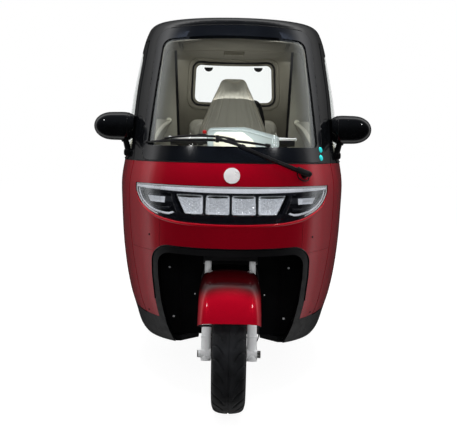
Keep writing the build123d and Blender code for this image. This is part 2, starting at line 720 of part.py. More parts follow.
BLADE = [(-346, 1020), (-290, 1024), (-200, 1028), (-100, 1030), (0, 1027), (80, 1020), (133, 1013)]
ARM = [(279, 906), (220, 926), (150, 952), (80, 982), (10, 1013), (-54, 1034)]
with BuildPart() as wiper:
    add(bar_through([proud(x, z, 9) for x, z in BLADE], 11, 9))
    add(bar_through([proud(x, z, 15) for x, z in ARM[:-1]] + [proud(-54, 1030, 11)], 9, 9))
    with BuildSketch(Plane(origin=proud(279, 906, 0), z_dir=(0.45, -0.85, 0.25))):
        Circle(15)
    extrude(amount=24)
    add(OUTER, mode=Mode.SUBTRACT)
save(wiper, "wiper")
print("wiper", len(wiper.solids()))

# ---------------------------------------------------------------- mirrors and handles
with BuildPart() as mirror_left:
    # bullet-shaped shell, flat towards the rear
    with BuildSketch(Plane(origin=(0, -442, 1092), x_dir=(1, 0, 0), z_dir=(0, 0, 1))):
        with BuildLine():
            Line((430, 0), (430, 46))
            Spline((430, 46), (450, 57), (504, 61), (558, 56), (592, 36), (607, 0))
            Line((607, 0), (430, 0))
        make_face()
    revolve(axis=Axis((0, -442, 1092), (1, 0, 0)))
    add(block(300, 700, -414, -300, 1000, 1200), mode=Mode.SUBTRACT)
    with BuildSketch(Plane(origin=(514, -414, 1092), x_dir=(1, 0, 0), z_dir=(0, -1, 0))):
        RectangleRounded(140, 92, 38)
    extrude(amount=5, mode=Mode.SUBTRACT)
    # foot on the door frame
    with BuildSketch(Plane(origin=(450, -440, 958), z_dir=(0.26, -0.04, 0.96))):
        Ellipse(15, 24)
    with BuildSketch(Plane(origin=(478, -446, 1062), z_dir=(0.26, -0.04, 0.96))):
        Ellipse(11, 15)
    loft()
    add(OUTER, mode=Mode.SUBTRACT)
with BuildPart() as mirror_right:
    add(mirror_left.part)
    mirror(about=Plane.YZ, mode=Mode.REPLACE)
save(mirror_left, "mirror_left")
save(mirror_right, "mirror_right")
print("mirror", len(mirror_left.solids()), mirror_left.part.bounding_box())

HX = skin_x(232, 830)
with BuildPart() as door_handle_left:
    with Locations((HX + 2, 232, 830)):
        Box(44, 150, 26)
    fillet(door_handle_left.edges().filter_by(Axis.Z), 10)
    with Locations((HX - 2, 232, 830)):
        Box(30, 96, 40, mode=Mode.SUBTRACT)
    add(OUTER, mode=Mode.SUBTRACT)
with BuildPart() as door_handle_right:
    add(door_handle_left.part)
    mirror(about=Plane.YZ, mode=Mode.REPLACE)
save(door_handle_left, "door_handle_left")
save(door_handle_right, "door_handle_right")
print("handle", len(door_handle_left.solids()))

# ---------------------------------------------------------------- front fork and steering
FORK_X = 88.0


def on_leg(s, x=FORK_X):
    """Point of a fork leg, s along it from the front axle."""
    return (x, FRONT_AXLE_Y + s * AX[1], AXLE_Z + s * AX[2])


with BuildPart() as fork_sliders:
    for x in (FORK_X, -FORK_X):
        add(rod(steer_plane(*on_leg(-26, x)), 19, 236))
        with Locations((x, FRONT_AXLE_Y, AXLE_Z)):
            Cylinder(21, 38, rotation=(0, 90, 0))
    with Locations((0, FRONT_AXLE_Y, AXLE_Z)):
        Cylinder(8.6, 300, rotation=(0, 90, 0), mode=Mode.SUBTRACT)
save(fork_sliders, "fork_sliders")
print("sliders", len(fork_sliders.solids()))

YOKE = on_leg(360, 0)
with BuildPart() as steering_column:
    for x in (FORK_X, -FORK_X):
        add(rod(steer_plane(*on_leg(210.5, x)), 13.5, 173.5))
    with BuildSketch(steer_plane(*YOKE)) as sk:
        with Locations((0, 18)):
            RectangleRounded(216, 84, 24)
    extrude(amount=24)
    add(rod(steer_plane(*on_steer(548)), 20, 489))
save(steering_column, "steering_column")
print("column", len(steering_column.solids()), steering_column.part.bounding_box())

with BuildPart() as front_axle:
    with Locations((0, FRONT_AXLE_Y, AXLE_Z)):
        Cylinder(8, 242, rotation=(0, 90, 0))
    for s in (1, -1):
        with Locations((s * 115, FRONT_AXLE_Y, AXLE_Z)):
            Cylinder(14, 12, rotation=(0, 90, 0))
save(front_axle, "front_axle")

# mudguard: arched section turned about a line above the axle
MG_Y, MG_Z = -862.0, 297.0
MG_A0, MG_A1 = -15.0, 157.8
a0 = math.radians(MG_A0)
with BuildPart() as front_fender:
    with BuildSketch(Plane(origin=(0, MG_Y, MG_Z), x_dir=(1, 0, 0),
                           z_dir=(0, -math.sin(a0), math.cos(a0)))) as sk:
        with BuildLine():
            Spline((-115, 168), (-112, 200), (-95, 226), (-55, 239), (0, 243), (55, 239), (95, 226), (112, 200), (115, 168))
            Line((115, 168), (111, 168))
            Spline((111, 168), (108, 198), (92, 222), (54, 234.5), (0, 238.5), (-54, 234.5), (-92, 222), (-108, 198), (-111, 168))
            Line((-111, 168), (-115, 168))
        make_face()
    revolve(axis=Axis((0, MG_Y, MG_Z), (1, 0, 0)), revolution_arc=MG_A1 - MG_A0)
    for x in (FORK_X, -FORK_X):
        add(rod(steer_plane(*on_leg(230, x)), 18, 160), mode=Mode.SUBTRACT)
save(front_fender, "front_fender")
print("fender", len(front_fender.solids()), front_fender.part.bounding_box())

BAR_Y, BAR_Z = -485.0, 1030.0
with BuildPart() as handlebar:
    with BuildLine() as path:
        Polyline((-266, BAR_Y, BAR_Z), (-124, BAR_Y, BAR_Z))
        Spline((-124, BAR_Y, BAR_Z), (0, -540, 1014), (124, BAR_Y, BAR_Z), tangents=((1, 0, 0), (1, 0, 0)))
        Polyline((124, BAR_Y, BAR_Z), (266, BAR_Y, BAR_Z))
    with BuildSketch(Plane(origin=(-266, BAR_Y, BAR_Z), z_dir=(1, 0, 0))):
        Circle(11)
    sweep()
    with Locations((0, -541, 1014)):
        Box(44, 40, 34)
    for s in (1, -1):
        with Locations((s * 138, BAR_Y, BAR_Z)):
            Cylinder(17, 24, rotation=(0, 90, 0))
        with Locations((s * 138, BAR_Y - 24, BAR_Z)):
            Box(22, 40, 16)
        with Locations((s * 192, BAR_Y - 46, BAR_Z)):
            Box(128, 10, 12)
    add(rod(steer_plane(*on_steer(900)), 20.2, 106 / AX[2]), mode=Mode.SUBTRACT)
save(handlebar, "handlebar")
print("bar", len(handlebar.solids()), handlebar.part.bounding_box())

with BuildPart() as handlebar_grips:
    for s in (1, -1):
        with Locations((s * 211, BAR_Y, BAR_Z)):
            Cylinder(17, 114, rotation=(0, 90, 0))
        with Locations((s * 209.5, BAR_Y, BAR_Z)):
            Cylinder(11.3, 115, rotation=(0, 90, 0), mode=Mode.SUBTRACT)
save(handlebar_grips, "handlebar_grips")

with BuildPart() as binnacle:
    add(prism_x([(-602, 988), (-572, 984), (-572, 1042), (-516, 1042), (-508, 1066), (-520, 1078), (-596, 1078)], -103, 128))
    fillet(binnacle.edges().filter_by(Axis.X), 5)
save(binnacle, "binnacle")
with BuildPart() as instrument_hood:
    add(prism_x([(-606, 1079), (-500, 1079), (-478, 1092), (-482, 1097), (-590, 1093)], -107, 211))
save(instrument_hood, "instrument_hood")


# ---------------------------------------------------------------- wheels
def tyre(x, y, radius, width, bead):
    """Solid of revolution with a rounded tread."""
    h = width / 2
    d = radius - bead
    with BuildPart() as ring:
        with BuildSketch(Plane(origin=(x, y, AXLE_Z), x_dir=(1, 0, 0), z_dir=(0, -1, 0))):
            with BuildLine():
                Spline((-h + 16, bead), (-h + 2, bead + 0.28 * d), (-h, bead + 0.50 * d), (-h + 8, bead + 0.82 * d),
                       (-h * 0.5, bead + 0.965 * d), (0, radius), (h * 0.5, bead + 0.965 * d), (h - 8, bead + 0.82 * d),
                       (h, bead + 0.50 * d), (h - 2, bead + 0.28 * d), (h - 16, bead))
                Line((h - 16, bead), (-h + 16, bead))
            make_face()
        revolve(axis=Axis((x, y, AXLE_Z), (1, 0, 0)))
    return ring


def rim(x, y, bead, width, bore, hub_r, hub_w, face):
    """Spoked wheel: barrel, five spokes and a hub."""
    b = width / 2
    with BuildPart() as wheel:
        with Locations((x, y, AXLE_Z)):
            Cylinder(bead - 0.3, 2 * b, rotation=(0, 90, 0))
            Cylinder(bead - 15, 2 * b + 2, rotation=(0, 90, 0), mode=Mode.SUBTRACT)
            Cylinder(hub_r, hub_w, rotation=(0, 90, 0))
        with BuildSketch(Plane(origin=(x + face - 9, y, AXLE_Z), x_dir=(0, 1, 0), z_dir=(1, 0, 0))):
            with PolarLocations(0, 5, start_angle=90):
                with Locations((bead / 2, 0)):
                    Rectangle(bead - 16, 34)
        extrude(amount=18)
        with Locations((x, y, AXLE_Z)):
            Cylinder(bore, 2 * b + 80, rotation=(0, 90, 0), mode=Mode.SUBTRACT)
    return wheel


front_tyre = tyre(0, FRONT_AXLE_Y, FRONT_R, FRONT_W, 146)
save(front_tyre, "front_tyre")
front_rim = rim(0, FRONT_AXLE_Y, 146, 94, 9, 40, 124, 30)
save(front_rim, "front_rim")
for side, s in (("left", 1), ("right", -1)):
    t = tyre(s * TRACK_HALF, REAR_AXLE_Y, REAR_R, REAR_W, 146)
    save(t, "rear_tyre_" + side)
    r = rim(s * TRACK_HALF, REAR_AXLE_Y, 146, 78, 14, 44, 62, s * 24)
    save(r, "rear_rim_" + side)
print("wheels", len(front_rim.solids()), len(r.solids()))
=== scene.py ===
import bpy
import bmesh
import json
import math
import random
import numpy as np
from mathutils import Matrix, Vector
from mathutils.bvhtree import BVHTree

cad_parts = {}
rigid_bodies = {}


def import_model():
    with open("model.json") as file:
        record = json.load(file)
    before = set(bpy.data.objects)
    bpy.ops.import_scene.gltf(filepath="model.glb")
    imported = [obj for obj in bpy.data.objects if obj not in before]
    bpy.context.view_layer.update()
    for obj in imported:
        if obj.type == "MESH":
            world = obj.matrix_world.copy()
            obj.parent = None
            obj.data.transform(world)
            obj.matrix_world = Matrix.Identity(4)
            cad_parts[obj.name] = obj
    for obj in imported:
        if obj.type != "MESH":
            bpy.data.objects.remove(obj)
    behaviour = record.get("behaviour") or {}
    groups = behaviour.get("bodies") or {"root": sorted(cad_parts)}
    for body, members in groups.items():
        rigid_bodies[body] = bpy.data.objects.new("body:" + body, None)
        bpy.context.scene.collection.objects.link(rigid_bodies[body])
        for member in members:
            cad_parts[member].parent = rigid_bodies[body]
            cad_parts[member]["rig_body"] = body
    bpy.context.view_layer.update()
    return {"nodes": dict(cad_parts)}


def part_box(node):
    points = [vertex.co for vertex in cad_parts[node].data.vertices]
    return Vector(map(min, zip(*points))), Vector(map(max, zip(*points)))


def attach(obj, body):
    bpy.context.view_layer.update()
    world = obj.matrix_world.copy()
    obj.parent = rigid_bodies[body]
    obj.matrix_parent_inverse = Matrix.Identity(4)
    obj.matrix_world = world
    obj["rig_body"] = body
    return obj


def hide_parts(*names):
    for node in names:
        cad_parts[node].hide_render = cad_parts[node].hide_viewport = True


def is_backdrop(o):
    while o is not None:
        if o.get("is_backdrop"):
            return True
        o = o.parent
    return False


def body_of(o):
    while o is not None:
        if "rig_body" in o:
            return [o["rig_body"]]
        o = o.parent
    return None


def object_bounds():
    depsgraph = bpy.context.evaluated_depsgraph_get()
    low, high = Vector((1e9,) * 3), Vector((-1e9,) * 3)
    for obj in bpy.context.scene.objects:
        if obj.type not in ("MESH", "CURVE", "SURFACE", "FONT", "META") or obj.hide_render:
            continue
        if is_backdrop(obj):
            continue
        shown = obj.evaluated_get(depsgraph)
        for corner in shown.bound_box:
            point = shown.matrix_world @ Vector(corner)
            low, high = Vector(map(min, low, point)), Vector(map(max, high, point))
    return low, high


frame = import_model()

random.seed(7)
scene = bpy.context.scene
scene.view_settings.view_transform = "Standard"
N = frame["nodes"]
MM = 0.001

# ------------------------------------------------------------------ camera
cam_data = bpy.data.cameras.new("camera")
cam_data.sensor_width = 36.0
cam_data.lens = 650.0 / 457.0 * 36.0
cam_data.shift_x = -2.7 / 457.0
cam_data.clip_end = 60.0
cam = bpy.data.objects.new("camera", cam_data)
scene.collection.objects.link(cam)
cam.location = (0.0, -3.319, 1.006)
cam.rotation_mode = "XYZ"
cam_rot = Matrix.Rotation(math.radians(90.0 - 6.18), 3, "X") @ Matrix.Rotation(math.radians(1.0), 3, "Z")
cam.rotation_euler = cam_rot.to_euler("XYZ")
scene.camera = cam


# ------------------------------------------------------------------ materials
def new_mat(name, color, rough=0.5, metal=0.0, coat=0.0, coat_rough=0.03, spec=0.5, sheen=0.0,
            vary=0.0, vary_scale=6.0, rough_vary=0.0, rough_scale=20.0, bump=0.0, bump_scale=300.0,
            bump2=0.0, bump2_scale=30.0, trans=0.0, ior=1.45, alpha=1.0, emit=None, emit_strength=0.0,
            flakes=0.0, detail=4.0, stretch=(1, 1, 1)):
    m = bpy.data.materials.new(name)
    m.use_nodes = True
    nt = m.node_tree
    b = nt.nodes["Principled BSDF"]
    b.inputs["Base Color"].default_value = (*color, 1)
    b.inputs["Roughness"].default_value = rough
    b.inputs["Metallic"].default_value = metal
    b.inputs["Coat Weight"].default_value = coat
    b.inputs["Coat Roughness"].default_value = coat_rough
    b.inputs["Specular IOR Level"].default_value = spec
    b.inputs["Sheen Weight"].default_value = sheen
    b.inputs["Transmission Weight"].default_value = trans
    b.inputs["IOR"].default_value = ior
    b.inputs["Alpha"].default_value = alpha
    if emit is not None:
        b.inputs["Emission Color"].default_value = (*emit, 1)
        b.inputs["Emission Strength"].default_value = emit_strength
    tc = nt.nodes.new("ShaderNodeTexCoord")
    mp = nt.nodes.new("ShaderNodeMapping")
    mp.inputs["Scale"].default_value = stretch
    nt.links.new(tc.outputs["Object"], mp.inputs["Vector"])
    vec = mp.outputs["Vector"]

    def noise(scale, det=detail):
        n = nt.nodes.new("ShaderNodeTexNoise")
        n.inputs["Scale"].default_value = scale
        n.inputs["Detail"].default_value = det
        nt.links.new(vec, n.inputs["Vector"])
        return n

    if vary or flakes:
        n = noise(vary_scale)
        ramp = nt.nodes.new("ShaderNodeValToRGB")
        lo = [max(0.0, c * (1 - vary)) for c in color]
        hi = [min(1.0, c * (1 + vary)) for c in color]
        ramp.color_ramp.elements[0].position = 0.3
        ramp.color_ramp.elements[1].position = 0.7
        ramp.color_ramp.elements[0].color = (*lo, 1)
        ramp.color_ramp.elements[1].color = (*hi, 1)
        nt.links.new(n.outputs["Fac"], ramp.inputs["Fac"])
        src = ramp.outputs["Color"]
        if flakes:
            f = nt.nodes.new("ShaderNodeTexVoronoi")
            f.inputs["Scale"].default_value = 900.0
            nt.links.new(vec, f.inputs["Vector"])
            mr = nt.nodes.new("ShaderNodeMapRange")
            mr.inputs["From Min"].default_value = 0.0
            mr.inputs["From Max"].default_value = 1.0
            mr.inputs["To Min"].default_value = 1.0 - flakes
            mr.inputs["To Max"].default_value = 1.0 + flakes
            sep = nt.nodes.new("ShaderNodeSeparateColor")
            nt.links.new(f.outputs["Color"], sep.inputs["Color"])
            nt.links.new(sep.outputs["Red"], mr.inputs["Value"])
            mul = nt.nodes.new("ShaderNodeVectorMath")
            mul.operation = "SCALE"
            nt.links.new(src, mul.inputs[0])
            nt.links.new(mr.outputs["Result"], mul.inputs["Scale"])
            src = mul.outputs["Vector"]
        nt.links.new(src, b.inputs["Base Color"])
    if rough_vary:
        n = noise(rough_scale)
        mr = nt.nodes.new("ShaderNodeMapRange")
        mr.inputs["From Min"].default_value = 0.3
        mr.inputs["From Max"].default_value = 0.7
        mr.inputs["To Min"].default_value = max(0.0, rough - rough_vary)
        mr.inputs["To Max"].default_value = min(1.0, rough + rough_vary)
        nt.links.new(n.outputs["Fac"], mr.inputs["Value"])
        nt.links.new(mr.outputs["Result"], b.inputs["Roughness"])
    last = None
    for amount, scale in ((bump2, bump2_scale), (bump, bump_scale)):
        if not amount:
            continue
        n = noise(scale)
        bp = nt.nodes.new("ShaderNodeBump")
        bp.inputs["Strength"].default_value = 1.0
        bp.inputs["Distance"].default_value = amount
        nt.links.new(n.outputs["Fac"], bp.inputs["Height"])
        if last is not None:
            nt.links.new(last, bp.inputs["Normal"])
        last = bp.outputs["Normal"]
    if last is not None:
        nt.links.new(last, b.inputs["Normal"])
    return m


M = {}
M["red"] = new_mat("red_paint", (0.47, 0.0006, 0.0150), rough=0.40, metal=0.40, coat=0.85, spec=0.15, coat_rough=0.02, vary=0.05,
                   vary_scale=3.0, flakes=0.14, bump=0.00002, bump_scale=600, bump2=0.00005, bump2_scale=16)
M["black_gloss"] = new_mat("black_gloss", (0.0045, 0.005, 0.006), rough=0.10, coat=0.5, coat_rough=0.02, vary=0.25,
                           vary_scale=5, rough_vary=0.03, bump=0.00001, bump_scale=400)
M["black_satin"] = new_mat("black_satin", (0.008, 0.008, 0.009), rough=0.38, vary=0.3, vary_scale=8, rough_vary=0.08,
                           rough_scale=40, bump=0.00012, bump_scale=1400)
M["black_matte"] = new_mat("black_matte", (0.0035, 0.0035, 0.004), rough=0.72, spec=0.25, vary=0.3, vary_scale=10,
                           rough_vary=0.1, bump=0.0002, bump_scale=900)
M["rubber"] = new_mat("rubber", (0.014, 0.014, 0.015), rough=0.66, vary=0.3, vary_scale=30, rough_vary=0.08,
                      bump=0.00012, bump_scale=700)
M["tyre"] = new_mat("tyre_rubber", (0.015, 0.0158, 0.018), rough=0.5, vary=0.35, vary_scale=24, rough_vary=0.12,
                    rough_scale=60, bump=0.00016, bump_scale=520)
M["chrome"] = new_mat("chrome", (0.88, 0.89, 0.90), rough=0.20, metal=0.25, rough_vary=0.04, rough_scale=60,
                      bump=0.000015, bump_scale=300)
M["alloy"] = new_mat("alloy", (0.90, 0.91, 0.92), rough=0.34, metal=0.15, vary=0.08, vary_scale=20, rough_vary=0.07,
                     rough_scale=80, bump=0.00006, bump_scale=700)
M["alloy_dark"] = new_mat("alloy_dark", (0.16, 0.165, 0.175), rough=0.36, metal=0.9, vary=0.12, vary_scale=15,
                          rough_vary=0.06, bump=0.00005, bump_scale=800)
M["steel_black"] = new_mat("steel_black", (0.015, 0.015, 0.016), rough=0.42, vary=0.35, vary_scale=9, rough_vary=0.1,
                           bump=0.0003, bump_scale=160)
M["iron"] = new_mat("iron", (0.05, 0.05, 0.053), rough=0.5, metal=0.6, vary=0.3, vary_scale=14, rough_vary=0.12,
                    bump=0.0006, bump_scale=120)
M["zinc"] = new_mat("zinc", (0.52, 0.52, 0.50), rough=0.32, metal=1.0, vary=0.12, vary_scale=50, rough_vary=0.1)
M["beige"] = new_mat("beige_plastic", (0.46, 0.447, 0.37), rough=0.50, vary=0.05, vary_scale=6, rough_vary=0.06,
                     bump=0.00025, bump_scale=900)
M["lining"] = new_mat("lining", (0.128, 0.120, 0.092), rough=0.85, sheen=0.08, vary=0.07, vary_scale=9, rough_vary=0.06,
                      bump=0.0005, bump_scale=700)
M["leather"] = new_mat("leather", (0.345, 0.335, 0.285), rough=0.42, vary=0.06, vary_scale=7, rough_vary=0.07,
                       rough_scale=30, bump=0.0004, bump_scale=260, bump2=0.0008, bump2_scale=22)
M["leather_dark"] = new_mat("leather_dark", (0.40, 0.37, 0.30), rough=0.5, vary=0.08, vary_scale=9, bump=0.0004,
                            bump_scale=260)
M["thread"] = new_mat("thread", (0.66, 0.63, 0.54), rough=0.7, vary=0.1, vary_scale=60)
M["floor_mat"] = new_mat("floor_mat", (0.035, 0.035, 0.037), rough=0.85, vary=0.25, vary_scale=60, bump=0.0009,
                         bump_scale=420)
M["battery"] = new_mat("battery", (0.03, 0.03, 0.034), rough=0.5, vary=0.2, vary_scale=12, bump=0.0003, bump_scale=500)
M["spring_red"] = new_mat("spring_red", (0.30, 0.012, 0.012), rough=0.38, coat=0.4, vary=0.1, vary_scale=30)
M["plate"] = new_mat("plate_blank", (0.78, 0.78, 0.75), rough=0.38, vary=0.04, vary_scale=12, rough_vary=0.05,
                     bump=0.0002, bump_scale=500)
M["silver"] = new_mat("silver_disc", (0.88, 0.86, 0.87), rough=0.30, metal=0.25, vary=0.04, vary_scale=60,
                      rough_vary=0.05)
M["red_lens"] = new_mat("red_lens", (0.13, 0.002, 0.003), rough=0.12, coat=1.0, vary=0.12, vary_scale=40,
                        bump=0.0003, bump_scale=180)
M["amber"] = new_mat("amber_lens", (0.70, 0.20, 0.01), rough=0.15, coat=1.0, vary=0.1, vary_scale=60)
M["white_lens"] = new_mat("white_lens", (0.75, 0.76, 0.78), rough=0.12, coat=1.0, vary=0.05, vary_scale=60)
M["mirror"] = new_mat("mirror_face", (0.80, 0.82, 0.85), rough=0.02, metal=1.0, rough_vary=0.01)
M["drl"] = new_mat("light_bar", (0.72, 0.74, 0.77), rough=0.22, emit=(0.85, 0.90, 0.97), emit_strength=0.24,
                   vary=0.10, vary_scale=50, bump=0.0004, bump_scale=220)
# reflector bowls with a faint painted glow standing in for their bright reflection
M["reflector"] = new_mat("reflector", (0.90, 0.92, 0.94), rough=0.16, metal=0.55, rough_vary=0.05, bump=0.0004,
                         bump_scale=120, vary=0.10, vary_scale=80, emit=(0.80, 0.87, 0.96), emit_strength=0.22)
M["lamp_dark"] = new_mat("lamp_dark", (0.012, 0.013, 0.018), rough=0.26, vary=0.2, vary_scale=40, coat=0.4,
                         bump=0.0001, bump_scale=500)
M["hood"] = new_mat("hood_plastic", (0.46, 0.52, 0.53), rough=0.22, coat=0.6, vary=0.06, vary_scale=14)
# turquoise nub plastic with a painted glow: emission on a part that is no lamp
M["teal"] = new_mat("teal_seal_painted_glow", (0.02, 0.42, 0.42), rough=0.4, emit=(0.02, 0.55, 0.55), emit_strength=0.7, vary=0.08,
                    vary_scale=90)
M["red_plain"] = new_mat("red_plastic", (0.45, 0.02, 0.02), rough=0.35, vary=0.1, vary_scale=40)
M["screen"] = new_mat("display", (0.02, 0.03, 0.035), rough=0.10, coat=1.0, vary=0.2, vary_scale=30)


def smooth(o, angle=28.0):
    for p in o.data.polygons:
        p.use_smooth = True
    o.data.set_sharp_from_angle(angle=math.radians(angle))


def paint(name, *mats, rule=None, angle=28.0):
    """Materials on a CAD node; rule(centre, normal) picks the index of each face."""
    o = N[name]
    o.data.materials.clear()
    for m in mats:
        o.data.materials.append(M[m])
    for p in o.data.polygons:
        p.material_index = rule(p.center, p.normal) if rule else 0
    smooth(o, angle)




def clear_mat(name, tint, ior, least, rough=0.012, wave=0.00002, most=0.9):
    """See-through pane: transparent inside, glossy by its angle to the eye."""
    m = bpy.data.materials.new(name)
    m.use_nodes = True
    nt = m.node_tree
    nt.nodes.remove(nt.nodes["Principled BSDF"])
    out = nt.nodes["Material Output"]
    clear = nt.nodes.new("ShaderNodeBsdfTransparent")
    clear.inputs["Color"].default_value = (*tint, 1)
    gloss = nt.nodes.new("ShaderNodeBsdfGlossy")
    gloss.inputs["Roughness"].default_value = rough
    gloss.inputs["Color"].default_value = (0.92, 0.95, 0.96, 1)
    mixer = nt.nodes.new("ShaderNodeMixShader")
    fres = nt.nodes.new("ShaderNodeFresnel")
    fres.inputs["IOR"].default_value = ior
    mr = nt.nodes.new("ShaderNodeMapRange")
    mr.inputs["From Min"].default_value = 0.0
    mr.inputs["From Max"].default_value = 1.0
    mr.inputs["To Min"].default_value = least
    mr.inputs["To Max"].default_value = most
    nt.links.new(fres.outputs["Fac"], mr.inputs["Value"])
    nt.links.new(mr.outputs["Result"], mixer.inputs["Fac"])
    tc = nt.nodes.new("ShaderNodeTexCoord")
    nz = nt.nodes.new("ShaderNodeTexNoise")
    nz.inputs["Scale"].default_value = 5.0
    nt.links.new(tc.outputs["Object"], nz.inputs["Vector"])
    bp = nt.nodes.new("ShaderNodeBump")
    bp.inputs["Distance"].default_value = wave
    nt.links.new(nz.outputs["Fac"], bp.inputs["Height"])
    nt.links.new(bp.outputs["Normal"], gloss.inputs["Normal"])
    nt.links.new(clear.outputs["BSDF"], mixer.inputs[1])
    nt.links.new(gloss.outputs["BSDF"], mixer.inputs[2])
    nt.links.new(mixer.outputs["Shader"], out.inputs["Surface"])
    return m


M["glass"] = clear_mat("clear_glass", (0.982, 0.990, 0.986), 1.30, 0.0, most=0.16)
M["lens"] = clear_mat("lamp_lens", (0.99, 0.99, 1.0), 1.35, 0.0, most=0.35)
# body red made brighter for the lamp lip: painted highlight on its upward face
M["lip_red"] = new_mat("lip_red", (0.62, 0.0010, 0.016), rough=0.30, metal=0.2, coat=1.0, coat_rough=0.03, vary=0.04,
                       vary_scale=8, flakes=0.10)
M["seal"] = new_mat("rubber_seal", (0.0075, 0.0075, 0.0085), rough=0.45, vary=0.25, vary_scale=30, bump=0.00006, bump_scale=600)
M["cream"] = new_mat("cream_face", (0.84, 0.82, 0.69), rough=0.42, vary=0.04, vary_scale=12, bump=0.00015, bump_scale=800)
M["belt"] = new_mat("belt_web", (0.018, 0.018, 0.02), rough=0.75, vary=0.2, vary_scale=80, bump=0.0004, bump_scale=1200)
M["panel"] = new_mat("panel_light", (0.36, 0.35, 0.29), rough=0.45, vary=0.04, vary_scale=8, bump=0.00015, bump_scale=900)
M["lining_dark"] = new_mat("lining_dark", (0.075, 0.068, 0.052), rough=0.8, vary=0.08, vary_scale=20)


def painted_shade_copy(src, name, lo, hi, dark, bow):
    """Copy of a paint whose colour falls off above a bowed height, in object space: painted shade."""
    m = src.copy()
    m.name = name
    nt = m.node_tree
    b = nt.nodes["Principled BSDF"]
    tc = nt.nodes.new("ShaderNodeTexCoord")
    sep = nt.nodes.new("ShaderNodeSeparateXYZ")
    nt.links.new(tc.outputs["Object"], sep.inputs["Vector"])
    sq = nt.nodes.new("ShaderNodeMath")
    sq.operation = "MULTIPLY"
    nt.links.new(sep.outputs["X"], sq.inputs[0])
    nt.links.new(sep.outputs["X"], sq.inputs[1])
    ma = nt.nodes.new("ShaderNodeMath")
    ma.operation = "MULTIPLY_ADD"
    nt.links.new(sq.outputs["Value"], ma.inputs[0])
    ma.inputs[1].default_value = bow
    nt.links.new(sep.outputs["Z"], ma.inputs[2])
    mr = nt.nodes.new("ShaderNodeMapRange")
    mr.interpolation_type = "SMOOTHSTEP"
    for k, v in (("From Min", lo), ("From Max", hi), ("To Min", 1.0), ("To Max", dark)):
        mr.inputs[k].default_value = v
    nt.links.new(ma.outputs["Value"], mr.inputs["Value"])
    vm = nt.nodes.new("ShaderNodeVectorMath")
    vm.operation = "SCALE"
    links = b.inputs["Base Color"].links
    if links:
        nt.links.new(links[0].from_socket, vm.inputs[0])
    else:
        vm.inputs[0].default_value = b.inputs["Base Color"].default_value[:3]
    nt.links.new(mr.outputs["Result"], vm.inputs["Scale"])
    nt.links.new(vm.outputs[0], b.inputs["Base Color"])
    return m


# fender red darkened towards its top: painted shade where the nose overhangs it
M["fender_red_painted_shade"] = painted_shade_copy(M["red"], "fender_red_painted_shade", 0.466, 0.512, 0.05, 1.9)
M["seg_red"] = new_mat("lamp_red", (0.55, 0.006, 0.010), rough=0.14, coat=1.0, vary=0.1, vary_scale=80, bump=0.0003, bump_scale=500)


# ------------------------------------------------------------------ mesh tools (millimetres)
V = Vector


class Skin:
    """Ray queries, in millimetres, on the surfaces of some CAD nodes."""

    def __init__(self, *names):
        verts, polys = [], []
        for n in names:
            base = len(verts)
            verts += [v.co * 1000.0 for v in N[n].data.vertices]
            polys += [[i + base for i in p.vertices] for p in N[n].data.polygons]
        self.tree = BVHTree.FromPolygons(verts, polys)

    def cast(self, origin, direction):
        p, n, i, d = self.tree.ray_cast(V(origin), V(direction).normalized())
        return (p, n) if p is not None else (None, None)

    NEAR = [(0, 0), (0, 2), (0, -2), (2, 0), (-2, 0), (3, 3), (-3, 3), (3, -3), (-3, -3), (0, 6), (0, -6), (6, 0), (-6, 0)]

    def _try(self, rays, keep, out, off, near=None):
        for o, d in rays:
            p, n = self.cast(o, d)
            if p is None or not keep(p):
                continue
            n = n if n.dot(V(out)) > 0 else -n
            return p + n * off, n
        if near is None:
            return None, None
        p, n, i, d = self.tree.find_nearest(V(near))
        n = n if n.dot(V(out)) > 0 else -n
        return p + n * off, n

    def front(self, x, z, off=0.0, deepest=-330):
        return self._try([((x + a, -2500, z + b), (0, 1, 0)) for a, b in self.NEAR], lambda p: p.y < deepest,
                         (0, -1, 0), off, (x, -760, z))

    def back(self, x, z, off=0.0, deepest=300):
        return self._try([((x + a, 2500, z + b), (0, -1, 0)) for a, b in self.NEAR], lambda p: p.y > deepest,
                         (0, 1, 0), off)

    def side(self, s, y, z, off=0.0, deepest=60):
        return self._try([((s * 2000, y + a, z + b), (-s, 0, 0)) for a, b in self.NEAR],
                         lambda p: p.x * s > deepest, (s, 0, 0), off)

    def inside(self, s, y, z, off=0.0):
        """First surface met going outward from the middle plane."""
        p, n = self.cast((0, y, z), (s, 0, 0))
        if p is None:
            return None, None
        n = n if n.x * s < 0 else -n
        return p + n * off, n


def frame_of(direction, up=(0, 0, 1)):
    """Matrix whose Z runs along direction."""
    z = V(direction).normalized()
    u = V(up)
    if abs(z.dot(u.normalized())) > 0.98:
        u = V((0, 1, 0))
    x = u.cross(z).normalized()
    y = z.cross(x)
    return Matrix((x, y, z)).transposed()


def smooth_path(pts, n):
    """n + 1 points along a Catmull-Rom curve through pts."""
    p = [V(q) for q in pts]
    p = [2 * p[0] - p[1]] + p + [2 * p[-1] - p[-2]]
    segs = len(p) - 3
    out = []
    for i in range(n + 1):
        t = i / n * segs
        k = min(int(t), segs - 1)
        u = t - k
        a, b, c, d = p[k:k + 4]
        out.append(0.5 * ((2 * b) + (c - a) * u + (2 * a - 5 * b + 4 * c - d) * u * u + (3 * b - a - 3 * c + d) * u ** 3))
    return out


